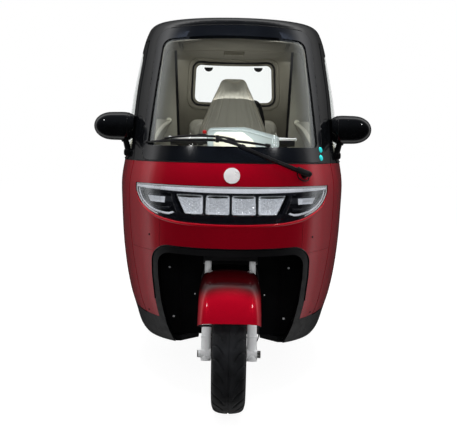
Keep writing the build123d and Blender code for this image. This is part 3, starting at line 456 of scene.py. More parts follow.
def rounded(poly, radii, n=8):
    """Closed 2D outline with rounded corners."""
    out = []
    m = len(poly)
    if not isinstance(radii, (list, tuple)):
        radii = [radii] * m
    for i in range(m):
        a, b, c = (V((*poly[(i + k) % m], 0)) for k in (-1, 0, 1))
        r = radii[i]
        if r <= 0:
            out.append((b.x, b.y))
            continue
        u, w = (a - b).normalized(), (c - b).normalized()
        half = math.acos(max(-1, min(1, u.dot(w)))) / 2
        d = r / math.tan(half)
        centre = b + (u + w).normalized() * (r / math.sin(half))
        s, e = b + u * d - centre, b + w * d - centre
        for k in range(n + 1):
            q = s.slerp(e, k / n) if s.length > 0 else s
            q = q.normalized() * r + centre
            out.append((q.x, q.y))
    return out


def resample(pts, n, closed=True):
    """n points at equal distances along a polyline."""
    p = [V(q) for q in pts]
    if closed:
        p.append(p[0])
    run = [0.0]
    for a, b in zip(p, p[1:]):
        run.append(run[-1] + (b - a).length)
    out, j = [], 0
    for i in range(n):
        want = run[-1] * i / (n if closed else n - 1)
        while j < len(run) - 2 and run[j + 1] < want:
            j += 1
        k = (want - run[j]) / max(1e-9, run[j + 1] - run[j])
        out.append(p[j].lerp(p[j + 1], k))
    return out


class Build:
    """Collects the meshes of one piece, in millimetres."""

    def __init__(self, name):
        self.name, self.v, self.f, self.m = name, [], [], []

    def add(self, verts, faces, mat=0):
        base = len(self.v)
        self.v += [V(v) for v in verts]
        self.f += [tuple(i + base for i in f) for f in faces]
        self.m += [mat] * len(faces)
        return self

    def sweep(self, pts, section, closed=False, mat=0, caps=True, normals=None, scale=None):
        """Runs a closed 2D section along points; normals give the section's Y."""
        p = [V(q) for q in pts]
        n, k = len(p), len(section)
        verts, faces = [], []
        up = None
        for i in range(n):
            a = p[(i - 1) % n] if closed or i else p[i]
            b = p[(i + 1) % n] if closed or i < n - 1 else p[i]
            t = (b - a).normalized()
            if normals is not None:
                y = (V(normals[i]) - t * V(normals[i]).dot(t)).normalized()
            else:
                if up is None:
                    up = V((0, 0, 1)) if abs(t.z) < 0.9 else V((0, 1, 0))
                y = (up - t * up.dot(t)).normalized()
                up = y
            x = y.cross(t)
            s = scale[i] if scale else 1.0
            verts += [p[i] + x * (u * s) + y * (w * s) for u, w in section]
        rings = n if closed else n - 1
        for i in range(rings):
            j = (i + 1) % n
            for c in range(k):
                d = (c + 1) % k
                faces.append((i * k + c, i * k + d, j * k + d, j * k + c))
        if caps and not closed:
            faces.append(tuple(range(k))[::-1])
            faces.append(tuple((n - 1) * k + c for c in range(k)))
        return self.add(verts, faces, mat)

    def tube(self, pts, r, seg=10, closed=False, mat=0, normals=None, flat=1.0, scale=None):
        sec = [(r * math.cos(2 * math.pi * i / seg), r * flat * math.sin(2 * math.pi * i / seg)) for i in range(seg)]
        return self.sweep(pts, sec, closed, mat, True, normals, scale)

    def lathe(self, profile, origin, axis, seg=24, mat=0, up=(0, 0, 1), arc=None):
        """Revolves (radius, height) points about an axis."""
        fr = frame_of(axis, up)
        o = V(origin)
        verts, faces, rows = [], [], []
        for r, h in profile:
            if r < 1e-6:
                rows.append([len(verts)])
                verts.append(o + fr @ V((0, 0, h)))
            else:
                rows.append(list(range(len(verts), len(verts) + seg)))
                verts += [o + fr @ V((r * math.cos(2 * math.pi * i / seg), r * math.sin(2 * math.pi * i / seg), h))
                          for i in range(seg)]
        for a, b in zip(rows, rows[1:]):
            for i in range(seg):
                j = (i + 1) % seg
                if len(a) == 1 and len(b) == 1:
                    continue
                if len(a) == 1:
                    faces.append((a[0], b[j], b[i]))
                elif len(b) == 1:
                    faces.append((a[i], a[j], b[0]))
                else:
                    faces.append((a[i], a[j], b[j], b[i]))
        return self.add(verts, faces, mat)

    def solid(self, bm, matrix, mat=0):
        bm.verts.index_update()
        verts = [matrix @ v.co for v in bm.verts]
        faces = [tuple(v.index for v in f.verts) for f in bm.faces]
        bm.free()
        return self.add(verts, faces, mat)

    def rbox(self, centre, size, r=2.0, direction=(0, 0, 1), up=(0, 1, 0), mat=0, segs=3):
        """Block with rounded edges; its Z runs along direction."""
        bm = bmesh.new()
        bmesh.ops.create_cube(bm, size=1.0)
        for v in bm.verts:
            v.co = V((v.co.x * size[0], v.co.y * size[1], v.co.z * size[2]))
        bmesh.ops.bevel(bm, geom=list(bm.edges), offset=min(r, min(size) * 0.49), segments=segs, profile=0.5,
                        affect="EDGES")
        if tuple(direction) == (0, 0, 1) and tuple(up) == (0, 1, 0):
            m = Matrix.Identity(4)
        else:
            m = frame_of(direction, up).to_4x4()
        return self.solid(bm, Matrix.Translation(V(centre)) @ m, mat)

    def slab(self, outline, origin, xdir, ydir, thick, r=1.0, mat=0, segs=2):
        """Flat outline made thick along xdir x ydir, with rounded rims."""
        bm = bmesh.new()
        vs = [bm.verts.new(V((x, y, 0))) for x, y in outline]
        face = bm.faces.new(vs)
        geo = bmesh.ops.extrude_face_region(bm, geom=[face])
        top = [g for g in geo["geom"] if isinstance(g, bmesh.types.BMVert)]
        for v in top:
            v.co.z += thick
        bmesh.ops.recalc_face_normals(bm, faces=list(bm.faces))
        if r:
            rims = [e for e in bm.edges if abs(e.verts[0].co.z - e.verts[1].co.z) < 1e-6]
            bmesh.ops.bevel(bm, geom=rims, offset=r, segments=segs, profile=0.5, affect="EDGES")
        x, y = V(xdir).normalized(), V(ydir).normalized()
        z = x.cross(y)
        m = Matrix((x, y, z)).transposed().to_4x4()
        return self.solid(bm, Matrix.Translation(V(origin)) @ m, mat)

    def bolt(self, p, n, r=6.0, h=4.0, mat=0, kind="hex", washer=True):
        """Screw or bolt head standing on a surface."""
        p, n = V(p), V(n).normalized()
        if washer:
            self.lathe([(0, 0), (r * 1.55, 0), (r * 1.6, 0.5), (r * 1.45, 1.3), (0, 1.3)], p, n, 20, mat)
        if kind == "hex":
            self.lathe([(0, 1), (r, 1), (r, h * 0.8), (r * 0.86, h), (0, h)], p, n, 6, mat)
        else:
            self.lathe([(0, 1), (r, 1), (r * 0.96, h * 0.55), (r * 0.72, h), (r * 0.34, h * 1.04), (r * 0.30, h * 0.55),
                        (0, h * 0.55)], p, n, 18, mat)
        return self

    def done(self, body, mats, angle=32.0, replaces=()):
        me = bpy.data.meshes.new(self.name)
        me.from_pydata([v * MM for v in self.v], [], self.f)
        me.validate()
        for m in ([mats] if isinstance(mats, str) else mats):
            me.materials.append(M[m])
        if len(me.polygons) == len(self.m):
            me.polygons.foreach_set("material_index", self.m)
        bm = bmesh.new()
        bm.from_mesh(me)
        bmesh.ops.recalc_face_normals(bm, faces=list(bm.faces))
        bm.to_mesh(me)
        bm.free()
        o = bpy.data.objects.new(self.name, me)
        scene.collection.objects.link(o)
        for p in me.polygons:
            p.use_smooth = True
        me.set_sharp_from_angle(angle=math.radians(angle))
        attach(o, body)
        for n in replaces:
            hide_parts(n)
        return o


def mirror_x(pts):
    return [(-p[0], *p[1:]) for p in pts]


CIRC = lambda r, n=10: [(r * math.cos(2 * math.pi * i / n), r * math.sin(2 * math.pi * i / n)) for i in range(n)]


def inner_face(c, n):
    """Faces of the skin that look into the cabin."""
    away = Vector((c.x, c.y - 0.1, (c.z - 1.0) * 0.8))
    return n.dot(away.normalized()) < -0.35


paint("roof_shell", "black_gloss", "lining", rule=lambda c, n: 1 if inner_face(c, n) else 0)
for side in ("left", "right"):
    paint("door_" + side, "red", "beige", rule=lambda c, n: 1 if n.x * c.x < -0.02 and abs(n.x) > 0.5 else 0)
    paint("door_frame_" + side, "black_gloss", "lining", rule=lambda c, n: 1 if n.x * c.x < -0.02 and abs(n.x) > 0.5 else 0)
    paint("door_glass_" + side, "glass")
    paint("mirror_" + side, "black_gloss", "black_satin", rule=lambda c, n: 1 if c.z < 1.035 or n.y > 0.9 else 0)
    paint("door_handle_" + side, "black_gloss")
    paint("wing_" + side, "red")
    paint("rear_rim_" + side, "alloy")
# fender paint with painted shade on its top
paint("front_fender", "fender_red_painted_shade")
for n in ("front_panel", "nose_apron", "boot_lid"):
    paint(n, "red")
paint("rear_body", "red", "beige", rule=lambda c, n: 1 if inner_face(c, n) and c.y < 0.74 else 0)
paint("windscreen", "glass")
paint("rear_window", "glass")
paint("wheel_arch_trim", "black_satin")
paint("side_sills", "black_satin")
paint("rear_bumper", "black_satin")
paint("wheel_well_liner", "black_matte")
paint("rear_wheelhouses", "black_matte", "beige", rule=lambda c, n: 0)
paint("headlight_lens", "lens")
paint("headlight_housing", "lamp_dark")
paint("tail_lamps", "red_lens")
paint("chassis_frame", "steel_black")
paint("floor_pan", "floor_mat", "steel_black", rule=lambda c, n: 0 if n.z > 0.5 else 1)
paint("dashboard", "beige")
paint("battery_box", "battery")
paint("driver_seat_base", "beige")
paint("rear_axle", "iron")
paint("rear_shocks", "spring_red")
paint("number_plate", "plate", "black_satin", rule=lambda c, n: 0 if c.y > 1.1055 else 1)
paint("fork_sliders", "alloy")
paint("steering_column", "chrome", "steel_black",
      rule=lambda c, n: 0 if abs(c.x) > 0.06 and c.z < 0.548 else 1)
paint("front_axle", "zinc")
paint("handlebar", "steel_black")
paint("handlebar_grips", "rubber")
paint("binnacle", "cream")
paint("front_rim", "alloy_dark")



# ------------------------------------------------------------------ nose details
NOSE = Skin("front_panel", "nose_apron", "wing_left", "wing_right", "headlight_lens", "windscreen", "roof_shell",
            "door_left", "door_right", "door_frame_left", "door_frame_right", "wheel_arch_trim", "side_sills")
LENS = Skin("headlight_lens")
LAMP_LOW = [(-397, 858), (-396, 826), (-366, 776), (-300, 737), (-212, 720), (-100, 715), (0, 714), (100, 715),
            (212, 720), (300, 737), (366, 776), (396, 826), (397, 858)]
LAMP_TOP = [(397, 858), (220, 861), (0, 860), (-220, 861), (-397, 858)]


def lens_y(x, z):
    p, n = NOSE.front(max(-400, min(400, x)), z)
    return p.y


def behind(x, z, d):
    """Point in the lamp, d behind the lens surface."""
    return V((x, lens_y(x, z) + d, z))


def lamp_band(b, upper, lower, d0, d1, n, mat=0, sag=0.0):
    """Band between two (x, z) lines, front face at depth d0, closed back at d1."""
    up = smooth_path([(x, 0, z) for x, z in upper], n)
    lo = smooth_path([(x, 0, z) for x, z in lower], n)
    verts, faces = [], []
    for u, w in zip(up, lo):
        m = u.lerp(w, 0.5)
        q = [u, u.lerp(w, 0.15), m, u.lerp(w, 0.85), w]
        dd = [d0 + 2.5, d0 + 0.4, d0 - sag, d0 + 0.4, d0 + 2.5]
        front = [behind(c.x, c.z, d) for c, d in zip(q, dd)]
        rear = [behind(w.x, w.z, d1), behind(u.x, u.z, d1)]
        verts += front + rear
    k = 7
    for i in range(n):
        for c in range(k):
            d = (c + 1) % k
            faces.append((i * k + c, i * k + d, (i + 1) * k + d, (i + 1) * k + c))
    faces.append(tuple(range(k)))
    faces.append(tuple(n * k + c for c in range(k))[::-1])
    b.add(verts, faces, mat)


def top_edge(x):
    """Upper edge of the lamp at x."""
    return 858.0 + 2.6 * (1 - (x / 397.0) ** 2) + (0.4 if abs(x) > 200 else 0)


xs = [-392, -330, -250, -160, -70, 0, 70, 160, 250, 330, 392]
b = Build("lamp_light_bar")
lamp_band(b, [(x, top_edge(x) - 8.5) for x in xs], [(x, top_edge(x) - (27 - 9 * (abs(x) / 392) ** 2)) for x in xs], 8, 17, 90, 0, 2.0)
for s in (1, -1):
    arc_o = [(s * 384, 838), (s * 381, 822), (s * 372, 797), (s * 350, 773), (s * 318, 755), (s * 280, 745), (s * 244, 743), (s * 222, 752)]
    arc_i = [(s * 377, 838), (s * 374, 823), (s * 364, 800), (s * 343, 779), (s * 313, 762), (s * 278, 753), (s * 248, 751), (s * 229, 756)]
    lamp_band(b, arc_i, arc_o, 10, 17, 40, 0, 1.0)
b.done("body", "drl")

b = Build("lamp_bright_rim")
lamp_band(b, [(x, top_edge(x) - 1.5) for x in xs], [(x, top_edge(x) - 6.5) for x in xs], 2.5, 12, 90, 0, 0.8)
rim_out = [(s * 395.5, z) for s, z in ()]
for s in (1, -1):
    o = [(s * 394, 856), (s * 393, 826), (s * 379, 795), (s * 356, 769), (s * 326, 750), (s * 292, 738)]
    i = [(s * 388, 852), (s * 387, 827), (s * 373, 798), (s * 351, 774), (s * 322, 756), (s * 290, 743)]
    lamp_band(b, i, o, 3.5, 12, 40, 0, 0.8)
b.done("body", "chrome")

# dark carrier plate with steps, lower grille band
b = Build("lamp_carrier")
lamp_band(b, [(x, top_edge(x) - (28 - 8 * (abs(x) / 392) ** 2)) for x in xs], [(x, top_edge(x) - (38 - 8 * (abs(x) / 392) ** 2)) for x in xs], 15, 27, 80)
low = [(-300, 745), (-212, 729), (-100, 724), (0, 723), (100, 724), (212, 729), (300, 745)]
lamp_band(b, [(x, 752 if abs(x) < 230 else 757) for x, z in low], [(x, z - 3) for x, z in low], 14, 26, 70)
for k in range(4):
    z0 = 746 - k * 5.5
    w = 262 - 30 * k
    lamp_band(b, [(-w, z0 + 1), (0, z0), (w, z0 + 1)], [(-w, z0 - 1.6), (0, z0 - 2.6), (w, z0 - 1.6)], 10, 15, 60)
for s in (1, -1):
    lamp_band(b, [(s * 222, 826), (s * 218, 800), (s * 206, 770), (s * 196, 752)], [(s * 236, 824), (s * 232, 800), (s * 220, 768), (s * 212, 752)], 12, 40, 30)
    lamp_band(b, [(s * 256, 820), (s * 300, 826), (s * 352, 822)], [(s * 262, 812), (s * 300, 817), (s * 350, 814)], 16, 40, 30)
    lamp_band(b, [(s * 240, 772), (s * 290, 770), (s * 336, 780)], [(s * 240, 760), (s * 286, 760), (s * 326, 770)], 16, 40, 30)
for x in (-102, -2, 96):
    lamp_band(b, [(x - 5, 823), (x - 5, 790), (x - 5, 752)], [(x + 5, 823), (x + 5, 790), (x + 5, 752)], 17, 40, 20)
b.done("body", "lamp_dark")


def faceted(b, outline, d0, depth, nx, nz, seed, mat=0, ribs=9):
    """Reflector bowl in an outline (x0top, x1top, x0bot, x1bot, ztop, zbot), with small facets."""
    rnd = random.Random(seed)
    x0t, x1t, x0b, x1b, zt, zb = outline
    verts, faces = [], []
    for j in range(nz + 1):
        w = j / nz
        z = zt + (zb - zt) * w
        xa, xb = x0t + (x0b - x0t) * w, x1t + (x1b - x1t) * w
        for i in range(nx + 1):
            u = i / nx
            x = xa + (xb - xa) * u
            e = (1 - abs(2 * u - 1) ** 3) * (1 - abs(2 * w - 1) ** 3)
            facet = 2.6 * abs(((u * ribs) % 1.0) - 0.5) + 1.9 * (((w * 5 + (i * ribs // nx) * 0.5) % 1.0) - 0.5)
            if 0 < i < nx and 0 < j < nz:
                facet += rnd.uniform(-0.9, 0.9)
            else:
                facet = 0
            verts.append(behind(x, z, d0 + depth * e + facet))
    for j in range(nz):
        for i in range(nx):
            a = j * (nx + 1) + i
            faces.append((a, a + 1, a + nx + 2, a + nx + 1))
    # shallow collar to the back so that the bowl is a closed shape
    ring = [i for i in range(nx + 1)] + [(j + 1) * (nx + 1) - 1 for j in range(1, nz + 1)]
    ring += [nz * (nx + 1) + i for i in range(nx - 1, -1, -1)] + [j * (nx + 1) for j in range(nz - 1, 0, -1)]
    base = len(verts)
    for r in ring:
        q = verts[r]
        verts.append(q + V((0, depth + 7, 0)))
    k = len(ring)
    for c in range(k):
        d = (c + 1) % k
        faces.append((ring[c], ring[d], base + d, base + c))
    faces.append(tuple(base + c for c in range(k)))
    b.add(verts, faces, mat)


# reflector bowls; their material carries a painted glow standing in for reflection
b = Build("lamp_reflectors")
faceted(b, (-212, -110, -178, -110, 822, 752), 13, 20, 44, 26, 1)
faceted(b, (-95, -8, -98, -8, 822, 752), 13, 17, 40, 26, 2, ribs=7)
faceted(b, (3, 90, 3, 93, 822, 752), 13, 17, 40, 26, 3, ribs=7)
faceted(b, (104, 208, 104, 174, 822, 752), 13, 20, 44, 26, 4)
for s in (1, -1):
    x0, x1 = (-338, -262) if s < 0 else (262, 338)
    faceted(b, (x0, x1, x0 + (12 if s < 0 else 2), x1 - (2 if s < 0 else 12), 810, 787), 18, 9, 30, 12, 7 + s, ribs=8)
b.done("body", "reflector", angle=18)

# frames and shades of the four lights, bright sill under them
b = Build("lamp_light_frames")
for x0t, x1t, x0b, x1b in ((-214, -108, -180, -108), (-97, -6, -100, -6), (1, 92, 1, 95), (102, 210, 102, 176)):
    ring = rounded([(x0t, 824), (x1t, 824), (x1b, 750), (x0b, 750)], [9, 9, 9, 9], 5)
    pts = [behind(x, z, 12.5) for x, z in ring]
    b.tube(pts, 1.5, 6, closed=True)
    lamp_band(b, [(x0t + 5, 821), ((x0t + x1t) / 2, 823), (x1t - 5, 821)], [(x0t + 9, 814), ((x0t + x1t) / 2, 812), (x1t - 9, 814)], 14, 26, 16)
lamp_band(b, [(-176, 751), (0, 749), (176, 751)], [(-172, 748.6), (0, 746.4), (172, 748.6)], 9, 14, 60)
b.done("body", "zinc")

# body-coloured lip along the lower edge of the lamp, in a red brighter than the body paint as painted highlight
b = Build("lamp_lip")
pts, nor = [], []
for q in smooth_path([(x, 0, z - 4.5) for x, z in LAMP_LOW[1:-1]], 120):
    p, n = NOSE.front(q.x, q.z)
    pts.append(p - n * 0.2)
    nor.append(n)
sec = [(-6.5, -1.5), (-6.5, 0.2), (-4.4, 1.8), (-1, 4.6), (2.2, 4.8), (4.4, 3.0), (5.2, 0.2), (5.2, -1.5)]
sc = [min(1.0, 0.15 + 6 * min(i, 120 - i) / 120) for i in range(121)]
b.sweep(pts, sec, normals=nor, scale=sc)
b.done("body", "lip_red", angle=60)

# blank round badge
b = Build("nose_badge")
p, n = NOSE.front(0, 900)
b.lathe([(0, -1), (30.5, -1), (31, 0.6), (30, 1.8), (28.6, 2.1), (28.0, 1.7), (0, 2.3)], p, n, 64)
b.done("body", "silver")

# pane edges and rubber lines
WS = rounded([(-372, 951), (372, 951), (366, 1120), (352, 1290), (336, 1518), (-336, 1518), (-352, 1290), (-366, 1120)],
             [26, 26, 0, 0, 62, 62, 0, 0], 10)
b = Build("windscreen_seal")
ring = resample([(x, 0, z) for x, z in WS], 260)
pts, nor = [], []
for q in ring:
    p, n = NOSE.front(q.x, q.z)
    pts.append(p + n * 0.2)
    nor.append(n)
b.sweep(pts, [(-2.6, -1), (-2.4, 0.7), (-0.9, 1.6), (0.9, 1.6), (2.4, 0.7), (2.6, -1)], closed=True, normals=nor)
# belt line below the screen
pts, nor = [], []
for q in smooth_path([(x, 0, 946) for x in range(-400, 401, 50)], 90):
    p, n = NOSE.front(q.x, q.z)
    pts.append(p)
    nor.append(n)
b.sweep(pts, [(-2.2, -1.5), (-2.2, 0.4), (0, 1.1), (2.2, 0.4), (2.2, -1.5)], normals=nor)
b.done("body", "seal")

# two small turquoise nubs beside the screen, with a painted glow
b = Build("screen_nubs")
for x, z in ((362.5, 1003), (364.5, 970)):
    p, n = NOSE.front(x, z)
    b.lathe([(0, -0.5), (12.2, -0.5), (12.0, 2.0), (10.0, 4.6), (5.4, 6.6), (0, 7.2)], p, n, 28)
b.done("body", "teal", angle=60)

# panel fixings beside the lamp
b = Build("nose_fixings")
for s in (1, -1):
    for x, z in ((s * 330, 640), (s * 344, 300)):
        p, n = NOSE.front(x, z + 12)
        if p:
            b.bolt(p, n, 4.2, 2.4, kind="pan", washer=False)
b.done("body", "black_satin")

# bead round the arch trim
b = Build("arch_bead")
for outline, r in (([(-250, 296), (-262, 300), (-290, 340), (-311, 420), (-320, 489), (-319, 619), (319, 619), (320, 489), (311, 420), (290, 340), (262, 300), (250, 296)], 3.0),):
    arch = rounded([(-262, 297), (-290, 300), (-311, 380), (-320, 489), (-319, 619), (319, 619), (320, 489), (311, 380), (290, 300), (262, 297)], [0, 0, 0, 0, 72, 72, 0, 0, 0, 0], 14)
    arch = [q for q in arch if q[1] > 300]
    ring = resample([(x, 0, z) for x, z in arch], 150, closed=False)
    pts, nor = [], []
    for q in ring:
        p, n = NOSE.front(q.x * 0.9965, q.z - (1.5 if q.z > 560 else 0))
        if p is not None and p.y < -560:
            pts.append(p + n * 0.4)
            nor.append(n)
    b.tube(pts, 3.2, 8, normals=nor, flat=0.8)
b.done("body", "black_gloss")

# liner fixings
WELL = Skin("wheel_well_liner", "chassis_frame")
b = Build("liner_fixings")
for x, z in ((-262, 488), (252, 492), (-243, 271), (236, 268), (-152, 372), (150, 372)):
    p, n = WELL.front(x, z)
    if p is not None:
        small = abs(x) < 200
        b.bolt(p, n, 3.0 if small else 5.0, 3.0, kind="pan", washer=False)
b.done("body", "alloy")
# pressed ribs of the liner
b = Build("liner_ribs")
for x in (-215, 215, -75, 75):
    pts = [V((x, -547.5, z)) for z in range(212, 600, 12)]
    b.tube(pts, 5, 8, normals=[V((0, -1, 0))] * len(pts), flat=0.7)
for s in (1, -1):
    for y in (-760, -700, -640, -590):
        pts = [V((s * (301.5), y, z)) for z in range(225, 600, 15)]
        p, n = WELL.cast((0, y, 400), (s, 0, 0))
        if p is not None and abs(abs(p.x) - 302) < 3:
            b.tube(pts, 4, 8, normals=[V((-s, 0, 0))] * len(pts), flat=0.7)
b.done("body", "black_matte")

# ------------------------------------------------------------------ wiper
def proud(x, z, off):
    p, n = NOSE.front(x, z)
    return p + n * off, n


b = Build("wiper_detail")
arm = [(279, 906), (262, 912), (220, 928), (150, 955), (80, 984), (20, 1010), (-54, 1031)]
pts, nor = [], []
for q in smooth_path([(x, 0, z) for x, z in arm], 46):
    p, n = proud(q.x, q.z, 17)
    pts.append(p)
    nor.append(n)
scale = [1.35 - 0.65 * (i / 46) for i in range(47)]
b.sweep(pts, [(-7.5, -3), (-7.5, 1.5), (-5, 4), (5, 4), (7.5, 1.5), (7.5, -3), (5.4, -3), (5.2, 0.5), (-5.2, 0.5), (-5.4, -3)],
        normals=nor, scale=scale)
# hub with its cap
p, n = proud(283, 905, 0)
b.lathe([(0, -1), (17, -1), (17.5, 2), (15, 5), (13, 12), (13, 20), (0, 20)], p, n, 32)
q0, n0 = proud(290, 902, 20)
q1, n1 = proud(246, 919, 19)
b.rbox((q0 + q1) / 2 + n * 1.5, (25, 14, (q0 - q1).length + 12), 6.5, direction=(q0 - q1), up=n, segs=4)
b.lathe([(0, 0), (7.4, 0), (7.2, 1.4), (5, 2.2), (0, 2.4)], q0 + n * 8.4, n, 24)
# washer hose loop beside the hub
loop = []
for x, z in ((300, 899), (294, 882), (276, 880), (256, 890), (250, 905), (243, 921), (222, 929)):
    loop.append(proud(x, z, 9 if z < 921 else 20)[0])
b.tube(smooth_path(loop, 44), 2.6, 8)
# elbow clip and knuckle
for t in (0.56, 0.80):
    c = pts[int(t * 46)]
    b.rbox(c + nor[int(t * 46)] * 1, (17, 9, 16), 2.5, direction=(pts[20] - pts[24]), up=nor[20])
c, cn = proud(-56, 1031, 16)
b.rbox(c, (26, 16, 15), 4, direction=(1, 0, 0), up=cn)
b.lathe([(0, -11), (5.5, -11), (6, -9), (6, 9), (5.5, 11), (0, 11)], c + cn * 4, (0, 0.2, 1), 18)
# blade frame
blade = [(-346, 1020), (-290, 1024), (-200, 1028), (-100, 1030), (0, 1027), (80, 1020), (133, 1013)]
pb, nb = [], []
for q in smooth_path([(x, 0, z) for x, z in blade], 60):
    p, n = proud(q.x, q.z, 9.5)
    pb.append(p)
    nb.append(n)
sc = [0.55 + 0.45 * math.sin(math.pi * i / 60) ** 0.6 for i in range(61)]
b.sweep(pb, [(-5, -2.5), (-5, 1), (-2.5, 3.5), (2.5, 3.5), (5, 1), (5, -2.5)], normals=nb, scale=sc)
b.sweep([p - n * 6.6 for p, n in zip(pb[1:-1], nb[1:-1])], [(-2.2, 2.2), (-2.2, -1), (-0.8, -2.4), (0.8, -2.4), (2.2, -1), (2.2, 2.2)], normals=nb[1:-1])
# second, upper bar of the frame
ub = []
un = []
for q in smooth_path([(-262, 0, 1034), (-190, 0, 1042), (-120, 0, 1044), (-40, 0, 1040), (10, 0, 1030)], 30):
    p, n = proud(q.x, q.z, 12)
    ub.append(p)
    un.append(n)
b.sweep(ub, [(-4, -2.5), (-4, 1.5), (0, 3), (4, 1.5), (4, -2.5)], normals=un)
for i, j in ((3, 10), (26, 41)):
    b.tube([ub[i], (ub[i] + pb[j]) / 2, pb[j]], 3.4, 8)
for e in (0, -1):
    b.rbox(pb[e], (12, 10, 22), 3, direction=(pb[1] - pb[0]) if e == 0 else (pb[-1] - pb[-2]), up=nb[e])
b.done("body", "black_satin", replaces=("wiper",))

# ------------------------------------------------------------------ mirrors
for side, s in (("left", 1), ("right", -1)):
    b = Build("mirror_glass_" + side)
    face = rounded([(-65, -41), (65, -41), (65, 41), (-65, 41)], 35, 10)
    b.slab(face, (s * 514, -415.4, 1092), (1, 0, 0), (0, 0, 1), 2.6, 0.8)
    b.done("%s_door" % side, "mirror")
    b = Build("mirror_trim_" + side)
    ring = rounded([(-68, -44), (68, -44), (68, 44), (-68, 44)], 37, 10)
    pts = resample([(s * 514 + x, -414.2, 1092 + z) for x, z in ring], 90)
    b.tube(pts, 1.7, 8, closed=True)
    # parting line round the pod and knuckle under it
    pts = []
    for k in range(64):
        a = 2 * math.pi * k / 64
        pts.append(V((s * 455, -442 + 58.3 * math.cos(a), 1092 + 58.3 * math.sin(a))))
    pts = [q for q in pts if q.y < -414.6]
    pts.sort(key=lambda q: math.atan2(q.z - 1092, -(q.y + 442)))
    b.tube(pts, 1.6, 8)
    b.rbox((s * 449, -446, 1087), (26, 40, 74), 9, segs=4)
    b.lathe([(0, -9), (17, -9), (19, -6), (19, 4), (15, 9), (0, 9)], (s * 470, -443, 1036), (s * 0.26, -0.04, 0.96), 28)
    b.rbox((s * 459, -440, 978), (34, 52, 34), 12, segs=4)
    b.done("%s_door" % side, "black_satin")


# ------------------------------------------------------------------ tyres
def tyre_piece(name, centre, radius, width, bead, n_round, n_across, body, node, grooves, side):
    """Tyre with a centre groove and hooked side grooves cut into its tread."""
    h, d = width / 2, radius - bead
    prof = [(-h + 16, bead), (-h + 6, bead + 0.06 * d), (-h + 2, bead + 0.28 * d), (-h, bead + 0.50 * d), (-h + 3, bead + 0.68 * d),
            (-h + 8, bead + 0.82 * d), (-h * 0.72, bead + 0.91 * d), (-h * 0.5, bead + 0.965 * d), (-h * 0.25, bead + 0.992 * d), (0, radius)]
    prof = prof + [(-x, r) for x, r in reversed(prof[:-1])]
    line = resample([(q.x, 0, q.z) for q in smooth_path([(x, 0, r) for x, r in prof], 200)], n_across + 1, closed=False)
    nrm = []
    for i, q in enumerate(line):
        t = (line[min(i + 1, n_across)] - line[max(i - 1, 0)]).normalized()
        nrm.append((-t.z, t.x))
    verts, faces = [], []
    pitch = 2 * math.pi / grooves
    for j in range(n_round):
        th = 2 * math.pi * j / n_round
        for i, q in enumerate(line):
            x, r = q.x, q.z
            u = abs(x) / h
            cut = 0.0
            if r > bead + 0.72 * d:
                cut = max(0.0, 1 - abs(x) / 2.4) * 4.0
                cut = max(cut, 4.0 * max(0.0, min(1.0, (2.9 - abs(x)) / 1.0)))
                if u > 0.22:
                    # hook: steep by the centre line, flat at the shoulder
                    w = (u - 0.22) / 0.72
                    shift = 0.92 * (1 - (1 - w) ** 2.4) * pitch * (1.0 + 0.15 * w)
                    base = th + shift + (0.5 * pitch if x > 0 else 0.0)
                    k = (base / pitch) % 1.0
                    dist = min(k, 1 - k) * pitch * r
                    slope = 0.92 * 2.4 * (1 - w) ** 1.4 / 0.72 * pitch * r / h if w < 1 else 0
                    dist /= math.sqrt(1 + slope * slope)
                    fade = min(1.0, max(0.0, (w - 0.02) / 0.10)) * min(1.0, max(0.0, (1.12 - w) / 0.10))
                    wide = 1.3 + 1.3 * w
                    cut = max(cut, 3.6 * fade * max(0.0, min(1.0, (wide + 1.0 - dist) / 1.3)))
            elif bead + 0.18 * d < r < bead + 0.66 * d:
                # raised rings on the wall
                cut = -0.9 * max(0.0, 1 - abs(r - (bead + 0.56 * d)) / 1.6) - 0.7 * max(0.0, 1 - abs(r - (bead + 0.24 * d)) / 1.6)
            nx, nr = nrm[i]
            if nr < 0 and r > bead + 0.6 * d:
                nx, nr = -nx, -nr
            if r <= bead + 0.6 * d and nx * x < 0:
                nx, nr = -nx, -nr
            cut = max(cut, -0.5) if abs(x) > h - 1.2 else cut
            X, R = x - nx * cut, r - nr * cut
            X = max(-h + 0.05, min(h - 0.05, X))
            verts.append(V((centre[0] + X, centre[1] - R * math.sin(th), centre[2] + R * math.cos(th))))
    k = n_across + 1
    for j in range(n_round):
        m = (j + 1) % n_round
        for i in range(n_across):
            faces.append((j * k + i, j * k + i + 1, m * k + i + 1, m * k + i))
        faces.append((j * k + k - 1, j * k, m * k, m * k + k - 1))
    b = Build(name)
    b.add(verts, faces)
    o = b.done(body, "tyre", angle=50, replaces=(node,))
    return o


tyre_piece("front_tyre_tread", (0, -900, 220), 219.9, 126, 146, 700, 60, "front_wheel", "front_tyre", 28, 0)
for side, s in (("left", 1), ("right", -1)):
    tyre_piece("rear_tyre_tread_" + side, (s * 375, 660, 220), 219.9, 110, 146, 520, 46, "rear_wheel_" + side, "rear_tyre_" + side, 28, s)


